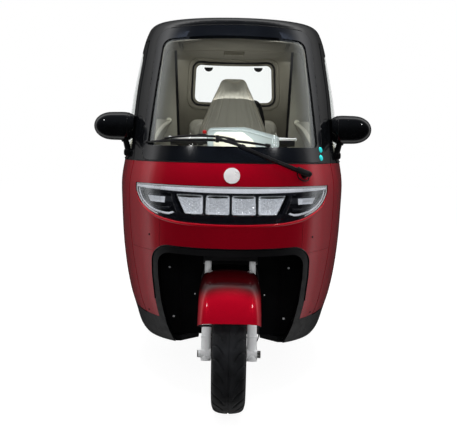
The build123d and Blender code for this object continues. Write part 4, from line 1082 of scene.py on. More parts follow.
def wheel_trim(name, centre, s, bead, half, body, face, hub_r, hub_face):
    """Rim lips, spoke bolts, valve and hub cap on the side s of a wheel."""
    b = Build(name)
    c = V(centre)
    for e in (1, -1):
        ring = [V((c.x + e * (half - 1), c.y + (bead - 2) * math.cos(a), c.z + (bead - 2) * math.sin(a)))
                for a in [2 * math.pi * i / 96 for i in range(96)]]
        b.tube(ring, 3.2, 8, closed=True)
    a = math.radians(54)
    for k in range(5):
        a = math.radians(90 + 72 * k + 36)
        b.bolt((c.x + s * hub_face, c.y + 26 * math.cos(a), c.z + 26 * math.sin(a)), (s, 0, 0), 5.2, 7, kind="hex")
    b.lathe([(0, 0), (15, 0), (15, 5), (12, 9), (0, 10)], (c.x + s * hub_face, c.y, c.z), (s, 0, 0), 32) if hub_r > 15 else None
    # spoke ridges
    for k in range(5):
        a = math.radians(90 + 72 * k)
        for w in (-9, 9):
            d = V((0, math.cos(a), math.sin(a)))
            t = V((0, -math.sin(a), math.cos(a)))
            pts = [c + V((s * (face + 8.8), 0, 0)) + d * q + t * w for q in (46, 70, 100, 126)]
            b.tube(pts, 2.4, 8)
    d = V((0, math.cos(0.7), math.sin(0.7)))
    b.lathe([(0, 0), (4, 0), (4, 8), (2.6, 9), (2.6, 22), (3.4, 23), (3.4, 27), (0, 27.5)], c + V((s * (face - 4), 0, 0)) + d * (bead - 15.5), -d * 0.9 + V((s * 0.5, 0, 0)), 12)
    b.done(body, "alloy")


for side, s in (("left", 1), ("right", -1)):
    wheel_trim("rear_wheel_trim_" + side, (s * 375, 660, 220), s, 146, 39, "rear_wheel_" + side, 24, 44, 31)
wheel_trim("front_wheel_trim_left", (0, -900, 220), 1, 146, 47, "front_wheel", 30, 12, 62)

# brake disc on the right side of the front wheel, caliper on the fork
b = Build("front_brake_disc")
prof = [(30, 52), (58, 52), (60, 54), (84, 54), (84, 58), (60, 58), (58, 56), (30, 56)]
b.lathe([(r, h) for r, h in prof] + [prof[0]], (0, -900, 220), (-1, 0, 0), 72)
for k in range(18):
    a = 2 * math.pi * k / 18
    for r in (66, 77):
        aa = a + (0.12 if r > 70 else 0)
        b.lathe([(0, 58.1), (2.6, 58.1), (2.6, 58.6), (1.6, 58.7), (0, 58.7)], (0, -900 + r * math.cos(aa), 220 + r * math.sin(aa)), (-1, 0, 0), 10, 1)
for k in range(6):
    a = 2 * math.pi * k / 6
    b.bolt((-56, -900 + 44 * math.cos(a), 220 + 44 * math.sin(a)), (-1, 0, 0), 4.5, 4, kind="hex", washer=False)
b.done("front_wheel", ["zinc", "iron"])

AXIS = V((0, math.sin(math.radians(22)), math.cos(math.radians(22))))
FWD = V((0, -math.cos(math.radians(22)), math.sin(math.radians(22))))


def leg(s, x):
    return V((x, -900, 220)) + AXIS * s


b = Build("fork_details")
for s in (1, -1):
    x = s * 88
    # slider shoulder, dust seal, bottom cap, axle nut, drain screw
    b.lathe([(19.1, 196), (21.5, 198), (22, 203), (22, 209), (20, 211), (15, 212.5), (13.8, 212.5)], leg(0, x), AXIS, 36)
    b.lathe([(0, -26.2), (12, -26.2), (15, -24), (19.2, -22), (20.6, -17), (20.6, -10), (19.1, -7)], leg(0, x), AXIS, 36)
    b.lathe([(19.1, 60), (20.4, 62), (20.4, 66), (19.1, 68)], leg(0, x), AXIS, 36)
    b.lathe([(0, 120.5), (9, 120.5), (9, 118), (14.2, 117), (14.2, 108)], V((0, -900, 220)), (s, 0, 0), 6 if s > 0 else 20)
    b.bolt(leg(-10, x) + FWD * 19, FWD, 4, 4, kind="hex")
# torque lug and caliper on the right leg
b.rbox(leg(40, -88) + V((16, 0, 0)) - FWD * 34, (18, 74, 84), 7, direction=AXIS, up=-FWD, mat=1)
b.rbox(leg(52, -70) - FWD * 60, (34, 50, 66), 9, direction=AXIS, up=-FWD, mat=1)
for q in (-22, 22):
    b.bolt(leg(52 + q, -88) - FWD * 48, (-1, 0, 0), 5, 6, kind="hex")
# speed sensor housing on the left leg
b.rbox(leg(6, 70), (14, 26, 20), 4, direction=AXIS, up=FWD)
b.done("steering", ["alloy", "alloy_dark"])

# brake hose and sensor lead, held from leg to yoke
b = Build("fork_hoses")
hose = [leg(80, -70) - FWD * 58, leg(130, -96) - FWD * 40, leg(190, -114) - FWD * 14, leg(240, -116) + FWD * 0, leg(300, -110) - FWD * 6, leg(352, -96) - FWD * 4]
b.tube(smooth_path(hose, 60), 3.0, 8)
lead = [leg(14, 76), leg(60, 111), leg(130, 112), leg(200, 113), leg(262, 114), leg(320, 108), leg(352, 96) - FWD * 4]
b.tube(smooth_path(lead, 60), 2.2, 8)
for t in (100, 170):
    b.lathe([(20, t), (21.8, t + 1), (21.8, t + 7), (20, t + 8)], leg(0, -88), AXIS, 30)
    b.rbox(leg(t + 4, -111), (8, 9, 8), 2, direction=AXIS, up=FWD)
    b.rbox(leg(t + 4, 108), (8, 9, 8), 2, direction=AXIS, up=FWD)
b.done("steering", "rubber")

# yoke bolts and steering-stem collar
b = Build("yoke_details")
for s in (1, -1):
    b.lathe([(0, 0), (17, 0), (17.4, 2), (17.4, 5), (15, 7), (0, 7.5)], leg(384, s * 88), AXIS, 30)
    b.lathe([(0, 7.4), (9, 7.4), (9, 12), (0, 12.4)], leg(384, s * 88), AXIS, 6)
b.lathe([(20.2, 0), (30, 0), (31, 3), (31, 10), (28, 14), (20.2, 15)], leg(384, 0) - FWD * 0 + AXIS * 0 - FWD * 37, AXIS, 40)
b.done("steering", "steel_black")

# ------------------------------------------------------------------ mudguard fittings
MG = V((0, -862, 297))


def guard(x, r, a):
    """Point of the mudguard circle at angle a from straight back, over the top."""
    t = math.radians(a)
    return MG + V((x, -r * math.cos(t), r * math.sin(t)))


FEN = Skin("front_fender")
lo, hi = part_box("front_fender")

b = Build("mudguard_bolts")
for s in (1, -1):
    for dy, dz in ((-892, 392), (-856, 400)):
        p, n = FEN.cast((s * 400, dy, dz), (-s, 0, 0))
        if p is not None:
            b.bolt(p, n if n.x * s > 0 else -n, 5, 4, kind="pan")
    # ray from beside the slider towards the guard; its hit is not used
    p, n = FEN.cast((s * 400, -930, 330), (-s, 0, 0))
if b.v:
    b.done("steering", "zinc")
# ------------------------------------------------------------------ padded seats
def loose_parts(name):
    """Separate closed meshes of a CAD node, in metres, front one first."""
    bm = bmesh.new()
    bm.from_mesh(N[name].data)
    bmesh.ops.remove_doubles(bm, verts=list(bm.verts), dist=2e-5)
    bm.verts.index_update()
    bm.verts.ensure_lookup_table()
    seen, out = set(), []
    for v in bm.verts:
        if v.index in seen:
            continue
        stack, comp = [v], []
        seen.add(v.index)
        while stack:
            q = stack.pop()
            comp.append(q)
            for e in q.link_edges:
                w = e.other_vert(q)
                if w.index not in seen:
                    seen.add(w.index)
                    stack.append(w)
        ids = {q.index: i for i, q in enumerate(comp)}
        out.append(([q.co.copy() for q in comp],
                    [[ids[w.index] for w in f.verts] for f in bm.faces if f.verts[0].index in ids]))
    bm.free()
    return sorted(out, key=lambda c: sum(v.y for v in c[0]) / len(c[0]))


def baked(o):
    dg = bpy.context.evaluated_depsgraph_get()
    dg.update()
    me = bpy.data.meshes.new_from_object(o.evaluated_get(dg), preserve_all_data_layers=True, depsgraph=dg)
    o.modifiers.clear()
    o.data = me


def pad(name, shape, voxel, shrink, cap, held, groove, mat="leather", replaced=None, stiff=45.0):
    """Stuffed piece: shrunk copy of a solid, remeshed, blown up as cloth, then given its seams."""
    verts, faces = shape
    lo = V([min(v[i] for v in verts) for i in range(3)])
    hi = V([max(v[i] for v in verts) for i in range(3)])
    c, half = (lo + hi) / 2, (hi - lo) / 2
    me = bpy.data.meshes.new(name)
    me.from_pydata([V([c[i] + (v[i] - c[i]) * (1 - shrink[i] / 1000.0 / half[i]) for i in range(3)]) for v in verts],
                   [], faces)
    o = bpy.data.objects.new(name, me)
    scene.collection.objects.link(o)
    r = o.modifiers.new("remesh", "REMESH")
    r.mode = "VOXEL"
    r.voxel_size = voxel / 1000.0
    s = o.modifiers.new("smooth", "SMOOTH")
    s.factor, s.iterations = 0.5, 6
    baked(o)
    rest = [v.co.copy() for v in o.data.vertices]
    g = o.vertex_groups.new(name="held")
    g.add([v.index for v in o.data.vertices if held(v.co * 1000, c * 1000, half * 1000)], 1.0, "REPLACE")
    cl = o.modifiers.new("cloth", "CLOTH")
    cs = cl.settings
    cs.vertex_group_mass = "held"
    cs.quality = 4
    cs.mass = 0.3
    cs.tension_stiffness = cs.compression_stiffness = stiff
    cs.shear_stiffness = 22.0
    cs.bending_stiffness = 14.0
    cs.use_pressure = True
    cs.uniform_pressure_force = 4.0
    cs.effector_weights.gravity = 0.0
    cl.point_cache.frame_start, cl.point_cache.frame_end = 1, 22
    for f in range(1, 21):
        scene.frame_set(f)
    baked(o)
    scene.frame_set(1)
    worst = 0.0
    for v, q in zip(o.data.vertices, rest):
        d = v.co - q
        worst = max(worst, d.length)
        if d.length > cap / 1000.0:
            v.co = q + d * (cap / 1000.0 / d.length)
    print("pad", name, len(rest), "moved up to %.1f mm" % (worst * 1000))
    s = o.modifiers.new("smooth", "SMOOTH")
    s.factor, s.iterations = 0.5, 10
    sub = o.modifiers.new("sub", "SUBSURF")
    sub.levels = sub.render_levels = 1
    baked(o)
    me = o.data
    me.update()
    nor = [v.normal.copy() for v in me.vertices]
    for v, n in zip(me.vertices, nor):
        d = groove(v.co * 1000, n)
        if d:
            v.co = v.co - n * (d / 1000.0)
    me.materials.clear()
    me.materials.append(M[mat])
    for p in me.polygons:
        p.use_smooth = True
        p.material_index = 0
    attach(o, "body")
    if replaced:
        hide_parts(replaced)
    tree = BVHTree.FromPolygons([v.co * 1000 for v in me.vertices], [list(p.vertices) for p in me.polygons])
    return o, tree, c * 1000, half * 1000


def ring_on(tree, centre, ux, uy, n, a=1.0, b=1.0, lift=1.0):
    """Closed path where rays towards a centre, in one plane, meet a pad."""
    pts, nor = [], []
    for k in range(n):
        t = 2 * math.pi * k / n
        d = (V(ux) * (a * math.cos(t)) + V(uy) * (b * math.sin(t))).normalized()
        p, nn, i, dist = tree.ray_cast(V(centre) + d * 1500, -d)
        if p is not None:
            nn = nn if nn.dot(d) > 0 else -nn
            pts.append(p + nn * lift)
            nor.append(nn)
    return pts, nor


def soft_line(pts, rounds=2):
    for _ in range(rounds):
        k = len(pts)
        pts = [(pts[i - 1] + pts[i] * 2 + pts[(i + 1) % k]) / 4 for i in range(k)]
    return pts


def dip(d, depth, width):
    return depth * math.exp(-(d / width) ** 2)


FALL = math.radians(7)


def back_half(h):
    for (h0, w0), (h1, w1) in zip(((0, 176), (130, 182), (546, 198), (838, 70)), ((130, 182), (546, 198), (838, 70), (900, 60))):
        if h <= h1:
            return w0 + (w1 - w0) * (h - h0) / (h1 - h0)
    return 60


def groove_back(p, n):
    h = (p.z - 564) / math.cos(FALL)
    if n.y > -0.25:
        return 0
    half = back_half(h)
    out = 0
    fade = min(1.0, max(0.0, (h - 40) / 60)) * min(1.0, max(0.0, (812 - h) / 40))
    for f in (-0.78, -0.50, -0.18, 0.14, 0.34, 0.54, 0.78):
        edge = 4.0 if abs(f) < 0.7 else 3.0
        out += dip(p.x - f * half, edge, 5.0) * fade
    return out


def groove_cushion(p, n):
    if n.z < 0.2:
        return 0
    out = dip(abs(p.x) - 112, 5, 7)
    if abs(p.x) < 112:
        for y in (-78, -22, 34, 90, 146):
            out += dip(p.y - y, 4.2, 6)
    return out


def groove_bench(p, n):
    if n.z < 0.2:
        return 0
    out = dip(p.x, 4, 7) + dip(abs(p.x) - 232, 4, 7)
    for y in (430, 482, 534):
        out += dip(p.y - y, 4, 6) if abs(p.x) < 232 else 0
    return out


def groove_bench_back(p, n):
    if n.y > -0.25:
        return 0
    h = (p.z - 500) / math.cos(math.radians(5))
    dx, dz = 280 - abs(p.x), 690 - h
    corner = 64
    if dx < corner + 32 and dz < corner + 32:
        d = corner + 32 - math.hypot(max(0, corner + 32 - dx), max(0, corner + 32 - dz))
    else:
        d = min(dx, dz)
    out = dip(d - 34, 4.4, 6)
    if d > 34:
        for x in (-150, -50, 50, 150):
            out += dip(p.x - x, 3.6, 6.5)
    return out


front_pad, back_pad = loose_parts("driver_seat")[:2]
cush, t_cush, c_cush, h_cush = pad("driver_cushion", front_pad, 8.0, (8, 8, 6), 22,
                                   lambda p, c, h: p.z < c.z - h.z * 0.55, groove_cushion, replaced="driver_seat")
back, t_back, c_back, h_back = pad("driver_backrest", back_pad, 8.5, (6, 5, 6), 20,
                                   lambda p, c, h: p.y - c.y - (p.z - c.z) * math.tan(FALL) > 18, groove_back,
                                   replaced="driver_seat")
bench_pad, bench_back_pad = loose_parts("rear_seat")[:2]
bench, t_bench, c_bench, h_bench = pad("bench_cushion", bench_pad, 9.0, (8, 8, 6), 22,
                                       lambda p, c, h: p.z < c.z - h.z * 0.5, groove_bench, replaced="rear_seat")
bback, t_bback, c_bback, h_bback = pad("bench_backrest", bench_back_pad, 10.0, (6, 5, 6), 20,
                                       lambda p, c, h: p.y - c.y - (p.z - c.z) * math.tan(math.radians(5)) > 14,
                                       groove_bench_back, replaced="rear_seat")

b = Build("seat_piping")
for tree, c, h, z in ((t_cush, c_cush, h_cush, 34), (t_cush, c_cush, h_cush, -26), (t_bench, c_bench, h_bench, 52),
                      (t_bench, c_bench, h_bench, -30)):
    pts, nor = ring_on(tree, (c.x, c.y, c.z + z), (1, 0, 0), (0, 1, 0), 120, h.x, h.y)
    b.tube(soft_line(pts), 2.9, 8, closed=True, normals=nor)
for tree, c, h, fall, out in ((t_back, c_back, h_back, FALL, 20), (t_bback, c_bback, h_bback, math.radians(5), 16)):
    up = V((0, math.sin(fall), math.cos(fall)))
    fwd = V((0, -math.cos(fall), math.sin(fall)))
    pts, nor = ring_on(tree, c + fwd * out, (1, 0, 0), up, 170, h.x, h.z, 0.6)
    b.tube(soft_line(pts), 2.9, 8, closed=True, normals=nor)
b.done("body", "leather_dark")

b = Build("seat_stitches")
up = V((0, math.sin(FALL), math.cos(FALL)))


def stitch_line(tree, path, step=8.0, off=0.5, r=0.7):
    line = resample(path, max(2, int(sum((V(q) - V(p)).length for p, q in zip(path, path[1:])) / step)), closed=False)
    for p, q in zip(line[::1], line[1:]):
        m0, m1 = p.lerp(q, 0.15), p.lerp(q, 0.75)
        hit = []
        for w in (m0, m1):
            a, nn, i, d = tree.find_nearest(w)
            if a is None:
                break
            nn = nn if nn.dot(V((0, -1, 0.3))) > 0 else -nn
            hit.append((a + nn * off, nn))
        if len(hit) == 2 and (hit[0][0] - hit[1][0]).length > 2:
            b.tube([hit[0][0], hit[1][0]], r, 5, normals=[hit[0][1], hit[1][1]])


for f in (-0.78, 0.78, -0.50, 0.54):
    for side in (-7.5, 7.5) if abs(f) > 0.7 else (7.5,):
        path = []
        for k in range(18):
            h = 120 + 640 * k / 17
            path.append(V((f * back_half(h) + side, 240, 564)) + up * h + V((0, -4, 0)))
        stitch_line(t_back, path)
for x in (-112, 112):
    for side in (-7, 7):
        stitch_line(t_cush, [V((x + side, y, 668)) for y in (-110, -40, 30, 100, 170, 210)])
b.done("body", "thread")
# ------------------------------------------------------------------ cabin
CABIN = Skin("roof_shell", "rear_body", "door_left", "door_right", "door_frame_left", "door_frame_right",
             "door_glass_left", "door_glass_right", "rear_window")
PANE = Skin("windscreen")


def polar(poly, c, n):
    """Points where rays from c, at n even angles, cross a closed outline."""
    out = []
    m = len(poly)
    for k in range(n):
        t = 2 * math.pi * k / n
        dx, dz = math.cos(t), math.sin(t)
        best = None
        for i in range(m):
            (x0, z0), (x1, z1) = poly[i], poly[(i + 1) % m]
            ex, ez = x1 - x0, z1 - z0
            den = dx * ez - dz * ex
            if abs(den) < 1e-9:
                continue
            s = ((x0 - c[0]) * ez - (z0 - c[1]) * ex) / den
            u = ((x0 - c[0]) * dz - (z0 - c[1]) * dx) / den
            if s > 0 and -1e-6 <= u <= 1 + 1e-6 and (best is None or s > best):
                best = s
        out.append((c[0] + dx * best, c[1] + dz * best))
    return out


def printed_band(name, outer, inner, centre, place, body, n=300, rows=6, over=0.7, under=0.2):
    """Black band along the rim of a pane."""
    b = Build(name)
    a, c = polar(outer, centre, n), polar(inner, centre, n)
    verts, faces = [], []
    for (x0, z0), (x1, z1) in zip(a, c):
        for j in range(rows + 1):
            t = j / rows
            p, nn = place(x0 + (x1 - x0) * t, z0 + (z1 - z0) * t)
            verts.append(p + nn * over)
        for j in range(rows, -1, -1):
            t = j / rows
            p, nn = place(x0 + (x1 - x0) * t, z0 + (z1 - z0) * t)
            verts.append(p + nn * under)
    k = 2 * rows + 2
    for i in range(n):
        for q in range(k):
            r = (q + 1) % k
            faces.append((i * k + q, i * k + r, ((i + 1) % n) * k + r, ((i + 1) % n) * k + q))
    b.add(verts, faces)
    return b.done(body, "frit", angle=40)


M["frit"] = new_mat("printed_black", (0.0042, 0.0052, 0.0075), rough=0.16, coat=0.3, vary=0.15, vary_scale=6)
outer = rounded([(-370.6, 952.4), (370.6, 952.4), (364.6, 1120), (350.6, 1290), (334.8, 1516.6), (-334.8, 1516.6),
                 (-350.6, 1290), (-364.6, 1120)], [25, 25, 0, 0, 60.5, 60.5, 0, 0], 10)
inner = rounded([(-350, 1010), (350, 1010), (329, 1240), (306, 1467), (-306, 1467), (-329, 1240)], [18, 18, 0, 40, 40, 0], 12)
printed_band("screen_border", outer, inner, (0, 1235), lambda x, z: PANE.front(x, z), "body")

# trim hoop behind the doors, with its rubber seal and round caps
for s, side in ((1, "left"), (-1, "right")):
    b = Build("pillar_trim_" + side)
    rows = []
    for k in range(36):
        z = 985 + (1532 - 985) * k / 35
        xi = 302 + (z - 1060) * (21.0 / 502)
        p, nn = CABIN.inside(s, 352, z)
        xo = (abs(p.x) if p is not None else 385) - 5
        xo = min(xo, 420)
        if xo < xi + 12:
            break
        rows.append((z, xi, xo))
    verts, faces = [], []
    for z, xi, xo in rows:
        r = 5
        sec = [(xi + 1.5, 352), (xi, 346), (xi + 1.5, 341), (xi + 7, 338.5), ((xi + xo) / 2, 336), (xo - 10, 338.5), (xo, 343), (xo, 352)]
        verts += [V((s * x, y, z)) for x, y in sec]
    k = 8
    for i in range(len(rows) - 1):
        for q in range(k):
            faces.append((i * k + q, i * k + (q + 1) % k, (i + 1) * k + (q + 1) % k, (i + 1) * k + q))
    faces.append(tuple(range(k)))
    faces.append(tuple((len(rows) - 1) * k + q for q in range(k)))
    b.add(verts, faces)
    # round cap on the trim behind the door
    b.lathe([(0, -4), (15, -4), (15.5, 0.5), (13.5, 2.8), (9, 3.4), (0, 3.0)], (s * 356, 336, 1142), (0, -1, 0), 36)
    b.done("body", "panel")
    b = Build("pillar_seal_" + side)
    pts = [V((s * (xi - 0.5), 339, z)) for z, xi, xo in rows]
    b.sweep(pts, [(-6.6, -3), (-7.4, 0), (-5.6, 4.0), (0, 6.0), (5.6, 4.0), (7.4, 0), (6.6, -3)],
            normals=[V((0, -1, 0))] * len(pts))
    pts2 = [p + V((s * 3, -1, 0)) for p in pts]
    b.tube([V((s * 300, 346, 985)), V((s * 296, 350, 960)), V((s * 296, 352, 900)), V((s * 300, 352, 700))], 4.2, 8)
    b.done("body", "seal")

# door inner panel with its light rail
for s, side in ((1, "left"), (-1, "right")):
    DOOR = Skin("door_" + side, "door_frame_" + side, "door_glass_" + side)
    b = Build("door_card_" + side)
    rail = smooth_path([(347, 300, 1151), (366, 200, 1128), (379, 100, 1101), (386, -20, 1066), (390, -150, 1036), (392, -250, 1014)], 40)
    verts, faces = [], []
    for p in rail:
        q, nn = DOOR.inside(s, p.y, p.z - 120)
        xw = (abs(q.x) if q is not None else 440) - 5.5
        q2, nn = DOOR.inside(s, p.y, p.z + 4)
        xt = (abs(q2.x) if q2 is not None else 440) - 5.5
        q3, nn = DOOR.inside(s, p.y, p.z - 290)
        xl = (abs(q3.x) if q3 is not None else 440) - 5.5
        xt, xw = max(xt, p.x + 14), max(xw, p.x + 22)
        sec = [(p.x, p.z), (p.x + 3, p.z - 26), (p.x + (xw - p.x) * 0.34, p.z - 92), (p.x + (xw - p.x) * 0.75, p.z - 190),
               (xl - 1, p.z - 290), (xl + 1.5, p.z - 286), (xw + 1.5, p.z - 120), (xt, p.z + 2), ((p.x + xt) / 2, p.z + 5)]
        verts += [V((s * x, p.y, z)) for x, z in sec]
    k = 9
    for i in range(len(rail) - 1):
        for q in range(k):
            faces.append((i * k + q, i * k + (q + 1) % k, (i + 1) * k + (q + 1) % k, (i + 1) * k + q))
    faces.append(tuple(range(k)))
    faces.append(tuple((len(rail) - 1) * k + q for q in range(k)))
    b.add(verts, faces)
    b.done(side + "_door", "beige")
    b = Build("door_rail_" + side)
    b.tube([V((s * (p.x - 1), p.y, p.z - 6)) for p in rail], 11, 14, flat=0.8, scale=[min(1.0, 0.35 + 0.2 * min(i, 40 - i)) for i in range(41)])
    b.lathe([(0, -6), (14, -6), (14.6, 0.5), (12.6, 3.0), (8, 3.6), (0, 3.2)], (s * 352, 296, 1150), (0, -1, 0), 32)
    q, nn = DOOR.inside(s, -60, 880)
    if q is not None:
        b.rbox((s * (abs(q.x) - 7), -60, 880), (12, 120, 34), 6, segs=4)
    b.done(side + "_door", "cream")

# rear window: rubber, trim ring and two hinge pads
REARW = Skin("rear_window", "rear_body", "roof_shell")
win = rounded([(-262, 1262), (262, 1262), (246, 1522), (-246, 1522)], [42, 42, 42, 42], 10)


def in_rear(x, z, off):
    """Inner face of the rear wall seen from the cabin."""
    p, nn = REARW.cast((x, 500, z), (0, 1, 0))
    if p is None:
        return V((x, 790, z)), V((0, -1, 0))
    nn = nn if nn.y < 0 else -nn
    return p + nn * off, nn


b = Build("rear_window_rubber")
for grow, r in ((0, 5.6),):
    pts, nor = [], []
    for q in resample([(x, 0, z) for x, z in rounded([(-258, 1266), (258, 1266), (243, 1518), (-243, 1518)], [44, 44, 44, 44], 10)], 150):
        p, nn = in_rear(q.x, q.z, 2.5)
        pts.append(p)
        nor.append(nn)
    b.tube(soft_line(pts, 3), r, 8, closed=True, normals=nor)
for x, z in ((-154, 1506), (150, 1508)):
    p, nn = in_rear(x, z, 6)
    half_disc = [(26 * math.cos(a), -24 * math.sin(a)) for a in [math.pi * i / 14 for i in range(15)]]
    b.slab([(u, w - 20) for u, w in half_disc], p + V((0, -6, 0)), (1, 0, 0), (0, 0.2, 1), 12, 3)
b.done("body", "seal")
b = Build("rear_window_trim")
pts, nor = [], []
for q in resample([(x, 0, z) for x, z in rounded([(-276, 1248), (276, 1248), (259, 1532), (-259, 1532)], [52, 52, 52, 52], 10)], 150):
    p, nn = in_rear(q.x, q.z, 0.5)
    pts.append(p)
    nor.append(nn)
b.sweep(soft_line(pts, 3), [(-13, -1), (-12, 3), (-5, 6.5), (5, 6.0), (12, 2.5), (13, -1)], closed=True, normals=nor)
b.done("body", "lining")

# cabin lamp over the rear window and lining seams
b = Build("cabin_lamp")
ROOF = Skin("roof_shell")


def ceiling(x, y, off=0.0):
    p, nn = ROOF.cast((x, y, 1300), (0, 0, 1))
    if p is None:
        return V((x, y, 1560)), V((0, 0, -1))
    nn = nn if nn.z < 0 else -nn
    return p + nn * off, nn


p, nn = ceiling(0, 560, 5)
b.rbox(p, (118, 46, 16), 6, direction=nn, up=(0, 1, 0), segs=4)
p, nn = in_rear(3, 1556, 3)
b.rbox(p, (118, 13, 9), 4, direction=(0, -1, 0), up=(0, 0, 1), segs=3)
b.done("body", "lining")
b = Build("lining_seams")
for y in (-120, 210, 470):
    pts, nor = [], []
    for k in range(25):
        p, nn = ceiling(-300 + 25 * k, y, 0.2)
        pts.append(p)
        nor.append(nn)
    b.tube(pts, 2.2, 6, normals=nor, flat=0.6)
# grab handles on the roof sides
for s in (1, -1):
    a0, n0 = ceiling(s * 285, 60, 2)
    a1, n1 = ceiling(s * 285, 240, 2)
    b.tube(smooth_path([a0, a0 + V((-s * 8, 12, -30)), (a0 + a1) / 2 + V((-s * 12, 0, -42)), a1 + V((-s * 8, -12, -30)), a1], 28), 7.5, 10)
b.done("body", "lining")

# hood and display housing on the bar
hood_body = body_of(N["instrument_hood"])
hood_body = hood_body if isinstance(hood_body, str) else list(hood_body)[0]
(hx0, hy0, hz0), (hx1, hy1, hz1) = [[t * 1000 for t in q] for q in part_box("instrument_hood")]
b = Build("display_hood")
outl = rounded([(-105, 990), (-105, 1086), (52, 1091), (192, 1056), (196, 1010), (150, 992)], [12, 22, 60, 20, 16, 20], 8)
ym = -599.0
deep = 96
inner_o = [(x * 0.965 + 1.2, (z - 1040) * 0.93 + 1040) for x, z in outl]
m = len(outl)
verts, faces = [], []
for poly, y in ((outl, ym + deep), (outl, ym + 3), ([(x * 0.99, (z - 1040) * 0.985 + 1040) for x, z in outl], ym), (inner_o, ym + 1), (inner_o, ym + 5)):
    verts += [V((x, y, z)) for x, z in poly]
for r in range(4):
    for i in range(m):
        j = (i + 1) % m
        faces.append((r * m + i, r * m + j, (r + 1) * m + j, (r + 1) * m + i))
faces.append(tuple(4 * m + i for i in range(m)))
faces.append(tuple(i for i in range(m))[::-1])
b.add(verts, faces)
# swage on its upper face
b.tube([V((x, ym + 0.5, z)) for x, z in ((-92, 1076), (-60, 1078), (40, 1078), (100, 1064), (178, 1042))], 2.4, 8)
b.done(hood_body, "hood", replaces=("instrument_hood",))
b = Build("display_housing")
crm = rounded([(-80, 996), (-80, 1069), (42, 1070), (84, 1040), (104, 996)], [8, 20, 26, 24, 8], 8)
b.slab(crm, (0, ym + 60, 0), (1, 0, 0), (0, 0, 1), 65.5, 4, segs=4)
b.done(hood_body, "cream", replaces=("binnacle",))

# controls on the bar
b = Build("bar_controls")
for s in (1, -1):
    b.rbox((s * 132, -516, 1040), (44, 38, 46), 9, segs=4)
    b.rbox((s * 128, -497, 1050), (22, 10, 16), 3, segs=3)
    b.lathe([(0, -3), (7, -3), (7.4, 2), (5.5, 4.5), (0, 4.8)], (s * 138, -496, 1034), (0, 1, 0), 20)
    b.rbox((s * 100, -528, 1042), (20, 30, 34), 6, segs=3)
b.done("steering", "black_satin")
b = Build("bar_levers")
for s in (1, -1):
    path = smooth_path([(s * 112, -534, 1043), (s * 138, -545, 1044), (s * 175, -542, 1045), (s * 225, -532, 1045), (s * 268, -520, 1045)], 40)
    b.tube(path, 5.6, 10, flat=1.3, scale=[1.1 - 0.35 * (i / 40) for i in range(41)])
    bpy_dir = (path[-1] - path[-2]).normalized()
    b.lathe([(0, -7), (4, -6.4), (6.6, -3), (7.4, 0), (6.6, 3.4), (4, 6.4), (0, 7.2)], path[-1], bpy_dir, 18)
b.done("steering", "alloy")
b = Build("bar_switch")
b.lathe([(0, -4), (9, -4), (9.4, 3), (8.6, 6), (5, 7.4), (0, 7.6)], (-121, -506, 1070), (0, -0.3, 1), 24)
b.done("steering", "red_plain")
b = Build("bar_cables")
for s in (1, -1):
    for k, off in enumerate((0, 9)):
        b.tube(smooth_path([(s * (104 - off), -540, 1040 - off * 0.4), (s * (80 - off), -553, 1034 - off), (s * (48 - off), -553, 1012 - off), (s * (26 - off * 0.5), -546, 990)], 30), 3.2, 8)
b.done("steering", "rubber")

# passenger grab handle on the seat back, belts and buckles
b = Build("seat_grab_handle")
b.tube(smooth_path([(96, 372, 1262), (128, 398, 1262), (150, 412, 1240), (166, 414, 1186), (172, 404, 1130), (158, 372, 1096), (128, 350, 1086)], 50), 10.5, 12)
for p in ((96, 366, 1262), (128, 346, 1086)):
    b.lathe([(0, -8), (17, -8), (18, -4), (14, 3), (0, 3)], p, (0, 1, 0.05), 20)
b.done("body", "black_satin")


def strap(b, pts, width, normals, thick=1.6):
    b.sweep(pts, [(-width / 2, -thick / 2), (-width / 2, thick / 2), (0, thick * 0.62), (width / 2, thick / 2), (width / 2, -thick / 2), (0, -thick * 0.62)],
            normals=normals)


b = Build("seat_belts")
BENCH = t_bench
for s in (1, -1):
    for x0 in (s * 120,):
        pts = smooth_path([(x0, 606, 668), (x0 - s * 6, 590, 664), (x0 - s * 30, 560, 662), (x0 - s * 70, 520, 664), (x0 - s * 96, 486, 664)], 24)
        out = []
        for p in pts:
            q, nn, i, d = BENCH.ray_cast(V((p.x, p.y, 760)), V((0, 0, -1)))
            out.append((q + V((0, 0, 1.8))) if q is not None else p)
        strap(b, out, 44, [V((0, 0, 1))] * len(out))
        b.rbox(out[-1] + V((0, -14, 5)), (50, 52, 12), 4, segs=3)
b.done("body", "belt")
# ------------------------------------------------------------------ tail, sides and underside
TAIL = Skin("boot_lid", "rear_body", "rear_bumper", "tail_lamps", "number_plate", "roof_shell", "rear_window")
b = Build("boot_fittings")
p, nn = TAIL.back(0, 795)
b.rbox(p + nn * 7, (150, 26, 16), 6, direction=nn, up=(0, 0, 1), segs=4)
for x in (-85, 85):
    b.bolt((x, 1106, 705), (0, 1, 0), 4.6, 3.4, kind="pan", washer=True)
p, nn = TAIL.back(0, 850)
b.lathe([(0, -2), (15, -2), (15.4, 1.6), (13, 3.2), (11, 2.2), (0, 2.2)], p, nn, 32)
b.rbox(p + nn * 2.6, (2.4, 12, 1.6), 0.7, direction=nn, up=(0, 0, 1), segs=2)
b.done("boot", "black_satin")
b = Build("rear_reflectors")
for s in (1, -1):
    p, nn = TAIL.back(s * 290, 330)
    if p is not None:
        b.rbox(p + nn * 1.5, (92, 26, 7), 3, direction=nn, up=(0, 0, 1), segs=3)
b.done("body", "red_lens")
b = Build("bumper_fittings")
for s in (1, -1):
    for x, z in ((s * 160, 392), (s * 350, 392), (s * 160, 300)):
        p, nn = TAIL.back(x, z)
        if p is not None and p.y > 800:
            b.bolt(p, nn, 4.8, 3, kind="pan")
